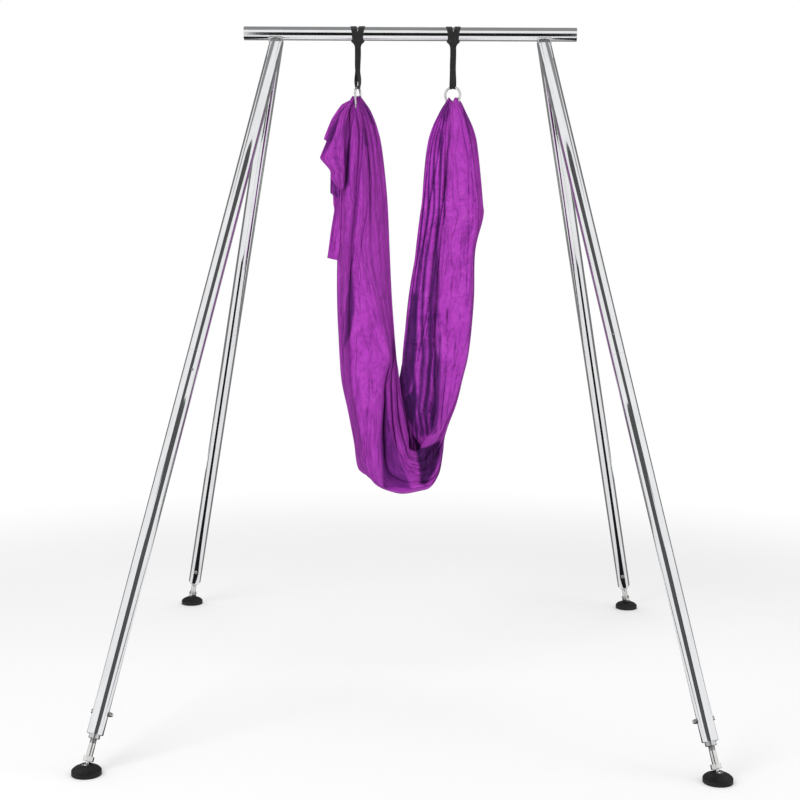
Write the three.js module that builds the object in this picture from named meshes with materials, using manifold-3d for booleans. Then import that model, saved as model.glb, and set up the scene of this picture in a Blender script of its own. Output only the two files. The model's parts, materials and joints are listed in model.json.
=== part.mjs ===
// Free-standing aerial rig: a bar on four splayed legs with a hanging fabric hammock.
// Millimetres, +Z up, floor at z = 0 under the middle of the bar, bar along X, front at -Y.
import * as THREE from 'three';
import { mergeVertices } from 'three/addons/utils/BufferGeometryUtils.js';
import Module from 'manifold-3d';

const wasm = await Module();
wasm.setup();

// Driving sizes of the stand
const standHeight = 2950;
const barDiameter = 60;
const barLength = 1470;
const barWall = 2;
const footSpacingX = 2390;
const footSpacingY = 2600;
const barOverhang = 141;
const headSpacing = barLength - 2 * barOverhang;
const apexBelowBar = 50;
const legDiameter = 63.5;
const legWall = 1.5;

// Clearances and cutting values
const fitGap = 0.3;
const slideGap = 0.5;
const weldLap = 0.2;
const overrun = 5;
const weldDistance = 0.001;

// End plugs of the bar
const endPlugSkirt = 22;
const endPlugWall = 2.5;
const endPlugFace = 4;
const endPlugChamfer = 1;

// Leg heads under the bar
const neckLength = 62;
const neckWidth = 30;
const neckCorner = 6;
const headGapUnderBar = 6;
const stubLength = 150;
const stubWall = 3;
const stubSolidEnd = 70;

// Joint in the middle of each leg
const seamFromApex = 1475;
const sleeveLength = 260;
const sleeveWall = 2.5;
const buttonFromSeam = 85;
const buttonDiameter = 9;
const buttonPlay = 1;
const buttonStandsOut = 4;
const leafLength = 60;
const leafWidth = 12;
const leafThickness = 1;
const leafOverhang = 8;

// Lower end of each leg, measured from the ball of the foot up the leg
const legEndHeight = 124;
const bossLength = 16.5;
const bossDiameter = 43.5;
const plugLength = 111;
const boltHeight = 206.5;
const boltDiameter = 10;
const boltHeadDiameter = 16.5;
const boltHeadHeight = 5;
const capNutFlats = 18.5;
const capNutHexHeight = 8;
const capNutLength = 18;
const capNutWall = 3;

// Screw foot
const stemDiameter = 25;
const stemTopHeight = 165;
const stemChamfer = 2;
const neckDiameter = 13;
const stemNutHeight = 21;
const stemNutThickness = 19;
const stemNutFlats = 38;
const ballHeight = 30;
const ballDiameter = 28;
const ballPlay = 0.7;
const socketDiameter = 40;
const socketFloor = 6;
const socketMouthAngle = 65;
const padDiameter = 115;
const padChamfer = 2;
const padRimHeight = 18;
const padShoulderDiameter = 92;
const padShoulderHeight = 29;
const padCrownDiameter = 60;
const padCrownHeight = 35.6;
const padLipWidth = 2.5;
const padLipHeight = 41;

// Webbing straps
const strapLeftX = -231;
const strapRightX = 191;
const webbingWidth = 27;
const webbingThickness = 3;
const wrapSpreadTop = 38;
const wrapSpreadLow = 17;
const bandWidthTop = 54;
const bandWidthLow = 46;
const flareWidth = 60;
const strapDrop = 230;
const knotLength = 60;

// Carabiners
const ringRod = 10;
const ringTopRadius = 34;
const ringLowRadius = 24;
const ringCentres = 44;
const ringTurnLeft = 73;
const ringTurnRight = -17;
const gateRod = 8.4;
const noseGap = 0.5;
const ringEnd = 2;

// Hammock
const hammockDrop = 1782;
const strandDepth = 90;
const gatherRise = 52;
const gatherNeck = 28;
const ringPlay = 0.8;
const tailThickness = 14;
const pleatShare = 0.08;

// Fineness of round pieces
const tubeSides = 24;
const footSides = 16;
const smallSides = 10;
const rodHalfSides = 4;
const ringSteps = 26;
const ribSides = 32;

const barRadius = barDiameter / 2;
const barAxisZ = standHeight - barRadius;
const apexZ = barAxisZ - apexBelowBar;
const legRadius = legDiameter / 2;
const legBore = legRadius - legWall;
const ballRadius = ballDiameter / 2;
const headSeatZ = barAxisZ - barRadius - headGapUnderBar;
const legLength = new THREE.Vector3(
  (footSpacingX - headSpacing) / 2,
  footSpacingY / 2,
  apexZ - ballHeight,
).length();
const seamHeight = legLength - seamFromApex;

const rad = THREE.MathUtils.degToRad;

// Solids and booleans
function toSolid(geometry) {
  const bare = geometry.clone();
  bare.deleteAttribute('normal');
  bare.deleteAttribute('uv');
  const merged = mergeVertices(bare, weldDistance);
  const position = merged.attributes.position;
  const corner = [0, 1, 2].map(() => new THREE.Vector3());
  const triangles = [];
  let volume = 0;
  for (let i = 0; i < merged.index.count; i += 3) {
    const ids = [0, 1, 2].map((k) => merged.index.getX(i + k));
    if (ids[0] === ids[1] || ids[1] === ids[2] || ids[2] === ids[0]) continue;
    ids.forEach((id, k) => corner[k].fromBufferAttribute(position, id));
    volume += corner[0].dot(corner[1].clone().cross(corner[2]));
    triangles.push(ids);
  }
  const facing = volume < 0 ? triangles.map(([a, b, c]) => [a, c, b]) : triangles;
  return new wasm.Manifold(new wasm.Mesh({
    numProp: 3,
    vertProperties: new Float32Array(position.array),
    triVerts: new Uint32Array(facing.flat()),
  }));
}

function toGeometry(solid) {
  const mesh = solid.getMesh();
  const geometry = new THREE.BufferGeometry();
  geometry.setAttribute('position', new THREE.BufferAttribute(mesh.vertProperties, 3));
  geometry.setIndex(new THREE.BufferAttribute(mesh.triVerts, 1));
  geometry.computeVertexNormals();
  return geometry;
}

const join = (...solids) => solids.reduce((a, b) => a.add(b));
const cut = (solid, ...cutters) => cutters.reduce((a, b) => a.subtract(b), solid);

// A closed outline of [radius, height] points turned about Z
function revolve(outline, sides) {
  const points = outline.map(([r, z]) => new THREE.Vector2(r, z));
  points.push(points[0].clone());
  return new THREE.LatheGeometry(points, sides).rotateX(Math.PI / 2);
}

function rod(radius, low, high, sides) {
  return revolve([[0, low], [radius, low], [radius, high], [0, high]], sides);
}

function tube(outer, inner, low, high, sides) {
  return revolve([[inner, low], [outer, low], [outer, high], [inner, high]], sides);
}

function hexPrism(flats, low, high) {
  const prism = new THREE.CylinderGeometry(flats / Math.sqrt(3), flats / Math.sqrt(3), high - low, 6);
  return prism.rotateX(Math.PI / 2).translate(0, 0, (low + high) / 2);
}

// Points round an arc, from one angle to the other, in degrees
function arcPoints(centreX, centreY, radius, fromAngle, toAngle, steps) {
  return Array.from({ length: steps + 1 }, (_, i) => {
    const angle = rad(fromAngle + ((toAngle - fromAngle) * i) / steps);
    return [centreX + radius * Math.cos(angle), centreY + radius * Math.sin(angle)];
  });
}

// A closed skin over sections that have the same number of points
function loft(sections) {
  const sides = sections[0].length;
  const points = sections.flat();
  const first = points.length;
  const middle = (ring) => ring.reduce((a, p) => a.add(p), new THREE.Vector3()).divideScalar(sides);
  points.push(middle(sections[0]), middle(sections[sections.length - 1]));
  const index = [];
  for (let s = 0; s < sections.length - 1; s += 1) {
    for (let k = 0; k < sides; k += 1) {
      const a = s * sides + k;
      const b = s * sides + ((k + 1) % sides);
      index.push(a, b, b + sides, a, b + sides, a + sides);
    }
  }
  const last = (sections.length - 1) * sides;
  for (let k = 0; k < sides; k += 1) {
    const next = (k + 1) % sides;
    index.push(first, next, k, first + 1, last + k, last + next);
  }
  return new THREE.BufferGeometry().setFromPoints(points).setIndex(index);
}

function roundedRectangle(width, depth, corner) {
  const shape = new THREE.Shape();
  const w = width / 2;
  const d = depth / 2;
  shape.moveTo(-w + corner, -d);
  shape.lineTo(w - corner, -d);
  shape.absarc(w - corner, -d + corner, corner, -Math.PI / 2, 0);
  shape.lineTo(w, d - corner);
  shape.absarc(w - corner, d - corner, corner, 0, Math.PI / 2);
  shape.lineTo(-w + corner, d);
  shape.absarc(-w + corner, d - corner, corner, Math.PI / 2, Math.PI);
  shape.lineTo(-w, -d + corner);
  shape.absarc(-w + corner, -d + corner, corner, Math.PI, Math.PI * 1.5);
  return shape;
}

// Materials
const finish = (color, roughness, metalness) => () => new THREE.MeshStandardMaterial({ color, roughness, metalness });
const polishedSteel = finish(0xd4d6d8, 0.16, 1);
const turnedSteel = finish(0xb4b7ba, 0.35, 1);
const springSteel = finish(0x9a9da1, 0.4, 1);
const blackRubber = finish(0x242424, 0.85, 0);
const blackPlastic = finish(0x2a2a2c, 0.6, 0);
const darkWebbing = finish(0x2b2b2d, 0.9, 0);
const purpleFabric = finish(0x9a35a6, 0.9, 0);

function piece(name, shape, material) {
  const mesh = new THREE.Mesh(shape.isBufferGeometry ? shape : toGeometry(shape), material());
  mesh.name = name;
  return mesh;
}

const rig = new THREE.Group();

// Bar and its flush end plugs, built along Z and laid along X
function addBar() {
  const bar = new THREE.Group();
  bar.position.z = barAxisZ;
  bar.rotation.y = Math.PI / 2;
  const half = barLength / 2;
  const bore = barRadius - barWall;
  bar.add(piece('top_bar', toSolid(tube(barRadius, bore, -half, half, tubeSides)), polishedSteel));
  const plugRadius = bore - fitGap;
  const plugOutline = [
    [0, 0],
    [plugRadius - endPlugChamfer, 0],
    [plugRadius, -endPlugChamfer],
    [plugRadius, -endPlugSkirt],
    [plugRadius - endPlugWall, -endPlugSkirt],
    [plugRadius - endPlugWall, -endPlugFace],
    [0, -endPlugFace],
  ];
  for (const [side, end] of [['left', -1], ['right', 1]]) {
    const plug = piece(`bar_end_plug_${side}`, toSolid(revolve(plugOutline, tubeSides)), blackPlastic);
    plug.position.z = end * half;
    plug.rotation.y = end > 0 ? 0 : Math.PI;
    bar.add(plug);
  }
  rig.add(bar);
}

// Where a leg stands: its group's Z runs up the leg from the ball of the foot
function legFrame(sideX, sideY) {
  const ball = new THREE.Vector3((sideX * footSpacingX) / 2, (sideY * footSpacingY) / 2, ballHeight);
  const apex = new THREE.Vector3((sideX * headSpacing) / 2, 0, apexZ);
  const up = apex.clone().sub(ball).normalize();
  const across = new THREE.Vector3(1, 0, 0).projectOnPlane(up).normalize();
  const matrix = new THREE.Matrix4().makeBasis(across, up.clone().cross(across), up).setPosition(ball);
  return { ball, matrix, inverse: matrix.clone().invert() };
}

// Blocks that remove all above a level, or all behind the plane between front and rear
const cutterSize = 6 * legDiameter;
function blockAbove(level, centreX) {
  const block = new THREE.BoxGeometry(cutterSize, cutterSize, cutterSize);
  return block.translate(centreX, 0, level + cutterSize / 2);
}
function blockBeyond(sideY, gap, centreX) {
  const block = new THREE.BoxGeometry(cutterSize, cutterSize, cutterSize);
  return block.translate(centreX, -sideY * (cutterSize / 2 + gap), apexZ);
}

// V connector: a neck coped to the bar and two stubs that enter the upper legs
function legHead(sideX) {
  const centreX = (sideX * headSpacing) / 2;
  const stubRadius = legBore - fitGap;
  const low = legLength - stubLength;
  const stubs = [-1, 1].map((sideY) => {
    const frame = legFrame(sideX, sideY);
    const body = rod(stubRadius, low, legLength + legDiameter, tubeSides).applyMatrix4(frame.matrix);
    const bore = rod(stubRadius - stubWall, low - overrun, legLength - stubSolidEnd, tubeSides);
    return cut(
      toSolid(body),
      toSolid(bore.applyMatrix4(frame.matrix)),
      toSolid(blockAbove(headSeatZ + weldLap, centreX)),
      toSolid(blockBeyond(sideY, weldLap, centreX)),
    );
  });
  const neckShape = roundedRectangle(neckLength, neckWidth, neckCorner);
  const neck = new THREE.ExtrudeGeometry(neckShape, { depth: barRadius, bevelEnabled: false, curveSegments: 4 });
  neck.translate(centreX, 0, headSeatZ);
  const barCutter = rod(barRadius + fitGap, -neckLength, neckLength, tubeSides).rotateY(Math.PI / 2);
  barCutter.translate(centreX, 0, barAxisZ);
  return cut(join(...stubs, toSolid(neck)), toSolid(barCutter));
}

// A round hole from the axis outwards, at an azimuth about the leg and a height up it
function radialHole(diameter, height, azimuth, from = 0) {
  const reach = legRadius + overrun;
  const hole = rod(diameter / 2, from, reach, smallSides).rotateY(Math.PI / 2);
  return toSolid(hole.rotateZ(rad(azimuth)).translate(0, 0, height));
}

const buttonHole = buttonDiameter + 2 * buttonPlay;
const sleeveRadius = legBore - fitGap;
const sleeveBore = sleeveRadius - sleeveWall;
const leafFace = Math.sqrt((sleeveBore - fitGap) ** 2 - (leafWidth / 2) ** 2);

// Spring button on its leaf; the leaf's fixed end is at the group's origin
function snapButton() {
  const leaf = new THREE.BoxGeometry(leafThickness, leafWidth, leafLength + leafOverhang);
  leaf.translate(-leafThickness / 2, 0, (leafLength + leafOverhang) / 2);
  const radius = buttonDiameter / 2;
  const rise = legRadius + buttonStandsOut - leafFace;
  const dome = arcPoints(0, rise - radius, radius, 0, 90, 3);
  const button = revolve([[0, -leafThickness / 2], [radius, -leafThickness / 2], ...dome], smallSides);
  return join(toSolid(leaf), toSolid(button.rotateY(Math.PI / 2).translate(0, 0, leafLength)));
}

// Solid plug in the leg's lower end, bored for the stem and drilled for the cross bolt
const plugBossLow = legEndHeight - bossLength;
function footPlug(boltTurn) {
  const radius = legBore - fitGap;
  const bore = stemDiameter / 2 + slideGap;
  const top = legEndHeight + plugLength;
  const outline = [
    [bore, plugBossLow],
    [bossDiameter / 2 - endPlugChamfer, plugBossLow],
    [bossDiameter / 2, plugBossLow + endPlugChamfer],
    [bossDiameter / 2, legEndHeight - fitGap],
    [radius, legEndHeight - fitGap],
    [radius, top],
    [bore, top],
  ];
  return cut(toSolid(revolve(outline, tubeSides)), crossHole(boltTurn));
}

function crossHole(boltTurn) {
  const hole = boltDiameter + 2 * fitGap;
  return radialHole(hole, boltHeight, boltTurn, -(legRadius + overrun));
}

// Cross bolt along its own Z, head at the low end, with the thread end inside the cap nut
const boltSeat = legRadius + fitGap;
function crossBolt() {
  const radius = boltDiameter / 2;
  const headRadius = boltHeadDiameter / 2;
  const corner = boltHeadHeight / 3;
  const outline = [
    [0, -boltSeat - boltHeadHeight],
    ...arcPoints(headRadius - corner, -boltSeat - boltHeadHeight + corner, corner, -90, 0, 3),
    [headRadius, -boltSeat],
    [radius, -boltSeat],
    [radius, boltSeat + capNutHexHeight],
    [0, boltSeat + capNutHexHeight],
  ];
  return toSolid(revolve(outline, smallSides));
}

function capNut() {
  const domeRadius = capNutFlats / 2 - endPlugChamfer;
  const straight = capNutLength - domeRadius;
  const dome = revolve([[0, 0], ...arcPoints(0, straight, domeRadius, 0, 90, 3)], smallSides);
  const hex = hexPrism(capNutFlats, 0, capNutHexHeight);
  const thread = rod(boltDiameter / 2 + fitGap, -overrun, capNutLength - capNutWall, smallSides);
  return cut(join(toSolid(hex), toSolid(dome)), toSolid(thread)).translate([0, 0, boltSeat]);
}

// Ball-ended stem with the neck that clears its socket, and the hexagon that turns it
function footStem() {
  const neck = neckDiameter / 2;
  const stem = stemDiameter / 2;
  const neckAngle = THREE.MathUtils.radToDeg(Math.acos(neck / ballRadius));
  const outline = [
    ...arcPoints(0, 0, ballRadius, -90, neckAngle, 7),
    [neck, stemNutHeight],
    [stem, stemNutHeight],
    [stem, stemTopHeight - stemChamfer],
    [stem - stemChamfer, stemTopHeight],
    [0, stemTopHeight],
  ];
  return toSolid(revolve(outline, footSides));
}

function stemNut() {
  const top = stemNutHeight + stemNutThickness;
  const hex = hexPrism(stemNutFlats, stemNutHeight, top);
  const chamfered = revolve([
    [0, stemNutHeight],
    [stemNutFlats / 2, stemNutHeight],
    [stemNutFlats / Math.sqrt(3), stemNutHeight + stemChamfer],
    [stemNutFlats / Math.sqrt(3), top - stemChamfer],
    [stemNutFlats / 2, top],
    [0, top],
  ], footSides);
  const hole = rod(stemDiameter / 2 + fitGap, stemNutHeight - overrun, top + overrun, footSides);
  return cut(toSolid(hex).intersect(toSolid(chamfered)), toSolid(hole));
}

// Socket and pad stand square on the floor, with the ball's centre at their origin
const socketRadius = socketDiameter / 2;
const cavityRadius = ballRadius + ballPlay;
function padSocket() {
  const mouth = 90 - socketMouthAngle;
  const rim = socketRadius * Math.tan(rad(mouth));
  const outline = [
    [0, -cavityRadius - socketFloor],
    [socketRadius, -cavityRadius - socketFloor],
    [socketRadius, rim],
    ...arcPoints(0, 0, cavityRadius, mouth, -90, 5),
  ];
  return toSolid(revolve(outline, footSides));
}

function footPad() {
  const radius = padDiameter / 2;
  const pocket = socketRadius + fitGap;
  const outline = [
    [0, 0],
    [radius - padChamfer, 0],
    [radius, padChamfer],
    [radius, padRimHeight],
    [(radius + padShoulderDiameter / 2) / 2, (padRimHeight + padShoulderHeight) / 2 + padChamfer / 2],
    [padShoulderDiameter / 2, padShoulderHeight],
    [padCrownDiameter / 2, padCrownHeight],
    [pocket + padLipWidth, padLipHeight - padChamfer / 2],
    [pocket, padLipHeight],
    [pocket, ballHeight - cavityRadius - socketFloor - fitGap],
    [0, ballHeight - cavityRadius - socketFloor - fitGap],
  ];
  return toSolid(revolve(outline, tubeSides)).translate([0, 0, -ballHeight]);
}

// Azimuths about the leg, in degrees from local X, and whether the button is above the seam
const legs = [
  { name: 'front_left', sideX: -1, sideY: -1, boltTurn: 0, buttonTurn: -66, buttonAbove: false },
  { name: 'front_right', sideX: 1, sideY: -1, boltTurn: 180, buttonTurn: -97, buttonAbove: true },
  { name: 'rear_left', sideX: -1, sideY: 1, boltTurn: 90, buttonTurn: 90, buttonAbove: false },
  { name: 'rear_right', sideX: 1, sideY: 1, boltTurn: 90, buttonTurn: -139, buttonAbove: false },
];

function addLeg(leg) {
  const frame = legFrame(leg.sideX, leg.sideY);
  const centreX = (leg.sideX * headSpacing) / 2;
  const toward = leg.buttonAbove ? 1 : -1;
  const hole = radialHole(buttonHole, seamHeight + toward * buttonFromSeam, leg.buttonTurn);
  const worldCut = (block) => toSolid(block.applyMatrix4(frame.inverse));

  const upper = cut(
    toSolid(tube(legRadius, legBore, seamHeight + fitGap / 2, legLength + legDiameter, tubeSides)),
    worldCut(blockAbove(headSeatZ - fitGap, centreX)),
    worldCut(blockBeyond(leg.sideY, -fitGap / 2, centreX)),
  );
  const lower = cut(
    toSolid(tube(legRadius, legBore, legEndHeight, seamHeight - fitGap / 2, tubeSides)),
    crossHole(leg.boltTurn),
  );
  const half = sleeveLength / 2;
  const sleeve = tube(sleeveRadius, sleeveBore, seamHeight - half, seamHeight + half, tubeSides);

  const group = new THREE.Group();
  group.applyMatrix4(frame.matrix);
  group.add(
    piece(`upper_leg_${leg.name}`, leg.buttonAbove ? cut(upper, hole) : upper, polishedSteel),
    piece(`lower_leg_${leg.name}`, leg.buttonAbove ? lower : cut(lower, hole), polishedSteel),
    piece(`leg_sleeve_${leg.name}`, cut(toSolid(sleeve), hole), turnedSteel),
    piece(`foot_plug_${leg.name}`, footPlug(leg.boltTurn), turnedSteel),
    piece(`foot_stem_${leg.name}`, footStem(), polishedSteel),
    piece(`stem_nut_${leg.name}`, stemNut(), polishedSteel),
  );

  const button = new THREE.Group();
  button.rotation.z = rad(leg.buttonTurn);
  button.position.z = seamHeight + toward * (buttonFromSeam - leafLength);
  const leaf = piece(`snap_button_${leg.name}`, snapButton(), springSteel);
  leaf.position.x = leafFace;
  leaf.rotation.x = leg.buttonAbove ? 0 : Math.PI;
  button.add(leaf);
  group.add(button);

  const bolt = new THREE.Group();
  bolt.rotation.set(0, Math.PI / 2, rad(leg.boltTurn), 'ZYX');
  bolt.position.z = boltHeight;
  bolt.add(piece(`cross_bolt_${leg.name}`, crossBolt(), turnedSteel));
  bolt.add(piece(`cap_nut_${leg.name}`, capNut(), polishedSteel));
  group.add(bolt);
  rig.add(group);

  const foot = new THREE.Group();
  foot.position.copy(frame.ball);
  foot.add(piece(`pad_socket_${leg.name}`, padSocket(), turnedSteel));
  foot.add(piece(`foot_pad_${leg.name}`, footPad(), blackRubber));
  rig.add(foot);
}

// Carabiner, built in its own XZ plane with the middle of its top rod at the origin
const ringTopCentre = -ringTopRadius;
const ringLowCentre = ringTopCentre - ringCentres;
const ringLean = THREE.MathUtils.radToDeg(Math.asin((ringTopRadius - ringLowRadius) / ringCentres));
const ringArc = (centreZ, radius, from, to, steps) => (
  arcPoints(0, centreZ, radius, from, to, steps).map(([x, z]) => new THREE.Vector3(x, 0, z))
);
const ringTopArc = ringArc(ringTopCentre, ringTopRadius, 180 + ringLean, -ringLean, 12);
const ringLowArc = ringArc(ringLowCentre, ringLowRadius, -ringLean, ringLean - 180, 12);
const gateAlong = ringTopArc[0].clone().sub(ringLowArc[12]).normalize();
const ringNose = ringTopArc[0].clone().addScaledVector(gateAlong, -ringEnd);
const ringHeel = ringLowArc[12].clone().addScaledVector(gateAlong, ringEnd);
const ringCurve = new THREE.CatmullRomCurve3([ringNose, ...ringTopArc, ...ringLowArc, ringHeel]);

function ringRodAlong(radius) {
  const section = new THREE.Shape().absarc(0, 0, radius, 0, Math.PI * 2);
  return new THREE.ExtrudeGeometry(section, {
    extrudePath: ringCurve,
    steps: ringSteps,
    curveSegments: rodHalfSides,
    bevelEnabled: false,
  });
}

// Gate with a round hinge end that turns in front of the ring's cut end
function gate() {
  const radius = gateRod / 2;
  const pivot = ringHeel.clone().addScaledVector(gateAlong, radius + fitGap);
  const length = ringNose.distanceTo(pivot) - noseGap;
  const outline = [...arcPoints(0, 0, radius, -90, 0, 5), [radius, length], [0, length]];
  const lean = Math.atan2(gateAlong.x, gateAlong.z);
  return toSolid(revolve(outline, smallSides).rotateY(lean).translate(pivot.x, 0, pivot.z));
}

function addCarabiner(side, centreX, turn) {
  const group = new THREE.Group();
  group.position.set(centreX, 0, barAxisZ - strapDrop);
  group.rotation.z = rad(turn);
  group.add(piece(`carabiner_${side}`, toSolid(ringRodAlong(ringRod / 2)), polishedSteel));
  group.add(piece(`carabiner_gate_${side}`, gate(), turnedSteel));
  rig.add(group);
}

// Webbing strap hitched round the bar; origin on the bar's axis
function ribbonRound(fromAngle, toAngle, steps, inner, thickness, place) {
  return loft(Array.from({ length: steps + 1 }, (_, i) => {
    const share = i / steps;
    const angle = rad(fromAngle + (toAngle - fromAngle) * share);
    const { x, width } = place(share);
    return [[x - width / 2, inner], [x + width / 2, inner],
      [x + width / 2, inner + thickness], [x - width / 2, inner + thickness]]
      .map(([px, r]) => new THREE.Vector3(px, r * Math.cos(angle), r * Math.sin(angle)));
  }));
}

const wrapInner = barRadius + fitGap;
const wrapAngles = [-65, 245];
const bandAngles = [250, 168];

function webbingSection(width, depth, z, turn = 0) {
  const w = width / 2;
  const d = depth / 2;
  return [[-w, -d], [w, -d], [w, d], [-w, d]].map(([x, y]) => (
    new THREE.Vector3(x, y, z).applyAxisAngle(new THREE.Vector3(0, 0, 1), rad(turn))
  ));
}

function strap(turn) {
  const wraps = [-1, 1].map((side) => ribbonRound(...wrapAngles, 18, wrapInner, webbingThickness, (share) => {
    const rise = Math.sin(Math.PI * share) ** 2;
    const spread = wrapSpreadLow + (wrapSpreadTop - wrapSpreadLow) * rise;
    return { x: (side * spread) / 2, width: webbingWidth };
  }));
  const bandInner = wrapInner + webbingThickness - weldLap;
  const band = ribbonRound(...bandAngles, 6, bandInner, webbingThickness, (share) => (
    { x: 0, width: bandWidthLow + (bandWidthTop - bandWidthLow) * share }
  ));
  const knotDepth = 2 * (wrapInner + webbingThickness);
  const doubled = 2 * webbingThickness;
  const tailTop = -barRadius - knotLength / 2;
  const knot = [
    webbingSection(bandWidthLow, knotDepth * 0.78, -barRadius * 0.72),
    webbingSection(bandWidthLow, knotDepth * 0.62, -barRadius * 0.9),
    webbingSection(flareWidth, knotDepth * 0.45, -barRadius * 1.12),
    webbingSection(flareWidth * 0.72, knotDepth * 0.28, -barRadius * 1.38),
    webbingSection(webbingWidth, doubled, tailTop),
  ];
  const tailSteps = 8;
  const tail = Array.from({ length: tailSteps }, (_, i) => {
    const share = (i + 1) / tailSteps;
    return webbingSection(webbingWidth, doubled, tailTop + (-strapDrop - tailTop) * share, turn * share);
  });
  const halfLoop = THREE.MathUtils.radToDeg(Math.asin(webbingWidth / 2 / ringTopRadius));
  const loopArc = arcPoints(0, -strapDrop - ringTopRadius, ringTopRadius, 90 - halfLoop, 90 + halfLoop, 4);
  const loopCurve = new THREE.CatmullRomCurve3(loopArc.map(([x, z]) => new THREE.Vector3(x, 0, z)));
  const hole = ringRod / 2 + fitGap;
  const loopShape = new THREE.Shape().absarc(0, 0, hole + webbingThickness, 0, Math.PI * 2);
  const loop = new THREE.ExtrudeGeometry(loopShape, {
    extrudePath: loopCurve,
    steps: 4,
    curveSegments: rodHalfSides,
    bevelEnabled: false,
  }).rotateZ(rad(turn));
  const rodCutter = ringRodAlong(hole).translate(0, 0, -strapDrop).rotateZ(rad(turn));
  const barCutter = rod(wrapInner, -flareWidth, flareWidth, tubeSides).rotateY(Math.PI / 2);
  const webbing = join(...wraps.map(toSolid), toSolid(band), toSolid(loft([...knot, ...tail])), toSolid(loop));
  return cut(webbing, toSolid(barCutter), toSolid(rodCutter));
}

function addStrap(side, centreX, turn) {
  const mesh = piece(`strap_${side}`, strap(turn), darkWebbing);
  mesh.position.set(centreX, 0, barAxisZ);
  rig.add(mesh);
}

// Hammock: ribs across the hanging bundle, as shares of the gather spacing from the middle
// and of the drop below the gathers: outer x, outer z, inner x, inner z, depth
const ribShares = [
  [-0.815, 0.078, -0.273, 0.079, 0.95],
  [-0.838, 0.130, -0.230, 0.128, 1.0],
  [-0.787, 0.205, -0.187, 0.202, 1.0],
  [-0.760, 0.253, -0.175, 0.253, 1.0],
  [-0.768, 0.382, -0.152, 0.376, 1.0],
  [-0.716, 0.505, -0.125, 0.501, 1.05],
  [-0.692, 0.640, -0.081, 0.623, 1.1],
  [-0.682, 0.699, -0.050, 0.668, 1.15],
  [-0.640, 0.755, -0.036, 0.688, 1.25],
  [-0.590, 0.815, -0.020, 0.702, 1.35],
  [-0.545, 0.872, -0.006, 0.715, 1.45],
  [-0.498, 0.928, 0.012, 0.728, 1.55],
  [-0.400, 0.966, 0.030, 0.738, 1.65],
  [-0.205, 0.990, 0.050, 0.745, 1.7],
  [0.031, 1.0, 0.068, 0.748, 1.7],
  [0.256, 0.988, 0.084, 0.745, 1.65],
  [0.392, 0.945, 0.096, 0.736, 1.55],
  [0.455, 0.864, 0.098, 0.722, 1.45],
  [0.510, 0.800, 0.090, 0.705, 1.35],
  [0.595, 0.750, 0.070, 0.688, 1.25],
  [0.655, 0.692, 0.034, 0.668, 1.15],
  [0.704, 0.630, 0.008, 0.624, 1.1],
  [0.752, 0.503, 0.066, 0.501, 1.05],
  [0.756, 0.376, 0.137, 0.379, 1.0],
  [0.846, 0.299, 0.177, 0.302, 1.0],
  [0.832, 0.252, 0.197, 0.254, 1.0],
  [0.796, 0.160, 0.225, 0.160, 1.0],
  [0.726, 0.080, 0.278, 0.078, 0.95],
];
// Gather over the ring's lower rod: height above the rod's centre as a share of the
// gather's rise, then half sizes across and along the ring as shares of the gather neck
const gatherShares = [
  [1.0, 0.35, 0.30],
  [0.68, 1.15, 0.44],
  [0.34, 1.85, 0.50],
  [0.02, 2.35, 0.95],
];
// Loose end of the cloth beside the left strand, in the same shares as the ribs
const tailShares = [
  [-0.62, 0.085],
  [-0.83, 0.108],
  [-0.892, 0.150],
  [-0.808, 0.180],
  [-0.727, 0.200],
  [-0.789, 0.242],
  [-0.775, 0.325],
  [-0.818, 0.352],
  [-0.818, 0.407],
  [-0.735, 0.425],
  [-0.55, 0.425],
];
const hammockMiddle = (strapLeftX + strapRightX) / 2;
const hammockSpan = strapRightX - strapLeftX;
const ringLowZ = barAxisZ - strapDrop + ringLowCentre - ringLowRadius;
const gatherTopZ = ringLowZ + gatherRise;

function ribPoint(x, z) {
  return new THREE.Vector3(hammockMiddle + x * hammockSpan, 0, gatherTopZ - z * hammockDrop);
}

// Oval whose every second corner is drawn in by the given share, as the pleats of the gathered cloth
function ovalSection(centre, across, halfAcross, halfDepth, depthAxis, drawnIn = 0) {
  return Array.from({ length: ribSides }, (_, k) => {
    const angle = (2 * Math.PI * k) / ribSides;
    const size = k % 2 ? 1 - drawnIn : 1;
    return centre.clone()
      .addScaledVector(across, size * halfAcross * Math.cos(angle))
      .addScaledVector(depthAxis, size * halfDepth * Math.sin(angle));
  });
}

function gatherSections(centreX, turn, wideAlongX) {
  const ringAxis = new THREE.Vector3(1, 0, 0).applyAxisAngle(new THREE.Vector3(0, 0, 1), rad(turn));
  const crossAxis = new THREE.Vector3(0, 1, 0).applyAxisAngle(new THREE.Vector3(0, 0, 1), rad(turn));
  return gatherShares.map(([rise, wide, narrow]) => {
    const centre = new THREE.Vector3(centreX, 0, ringLowZ + rise * gatherRise);
    return wideAlongX
      ? ovalSection(centre, crossAxis.clone().negate(), wide * gatherNeck, narrow * gatherNeck, ringAxis)
      : ovalSection(centre, ringAxis, narrow * gatherNeck, wide * gatherNeck, crossAxis);
  });
}

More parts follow.
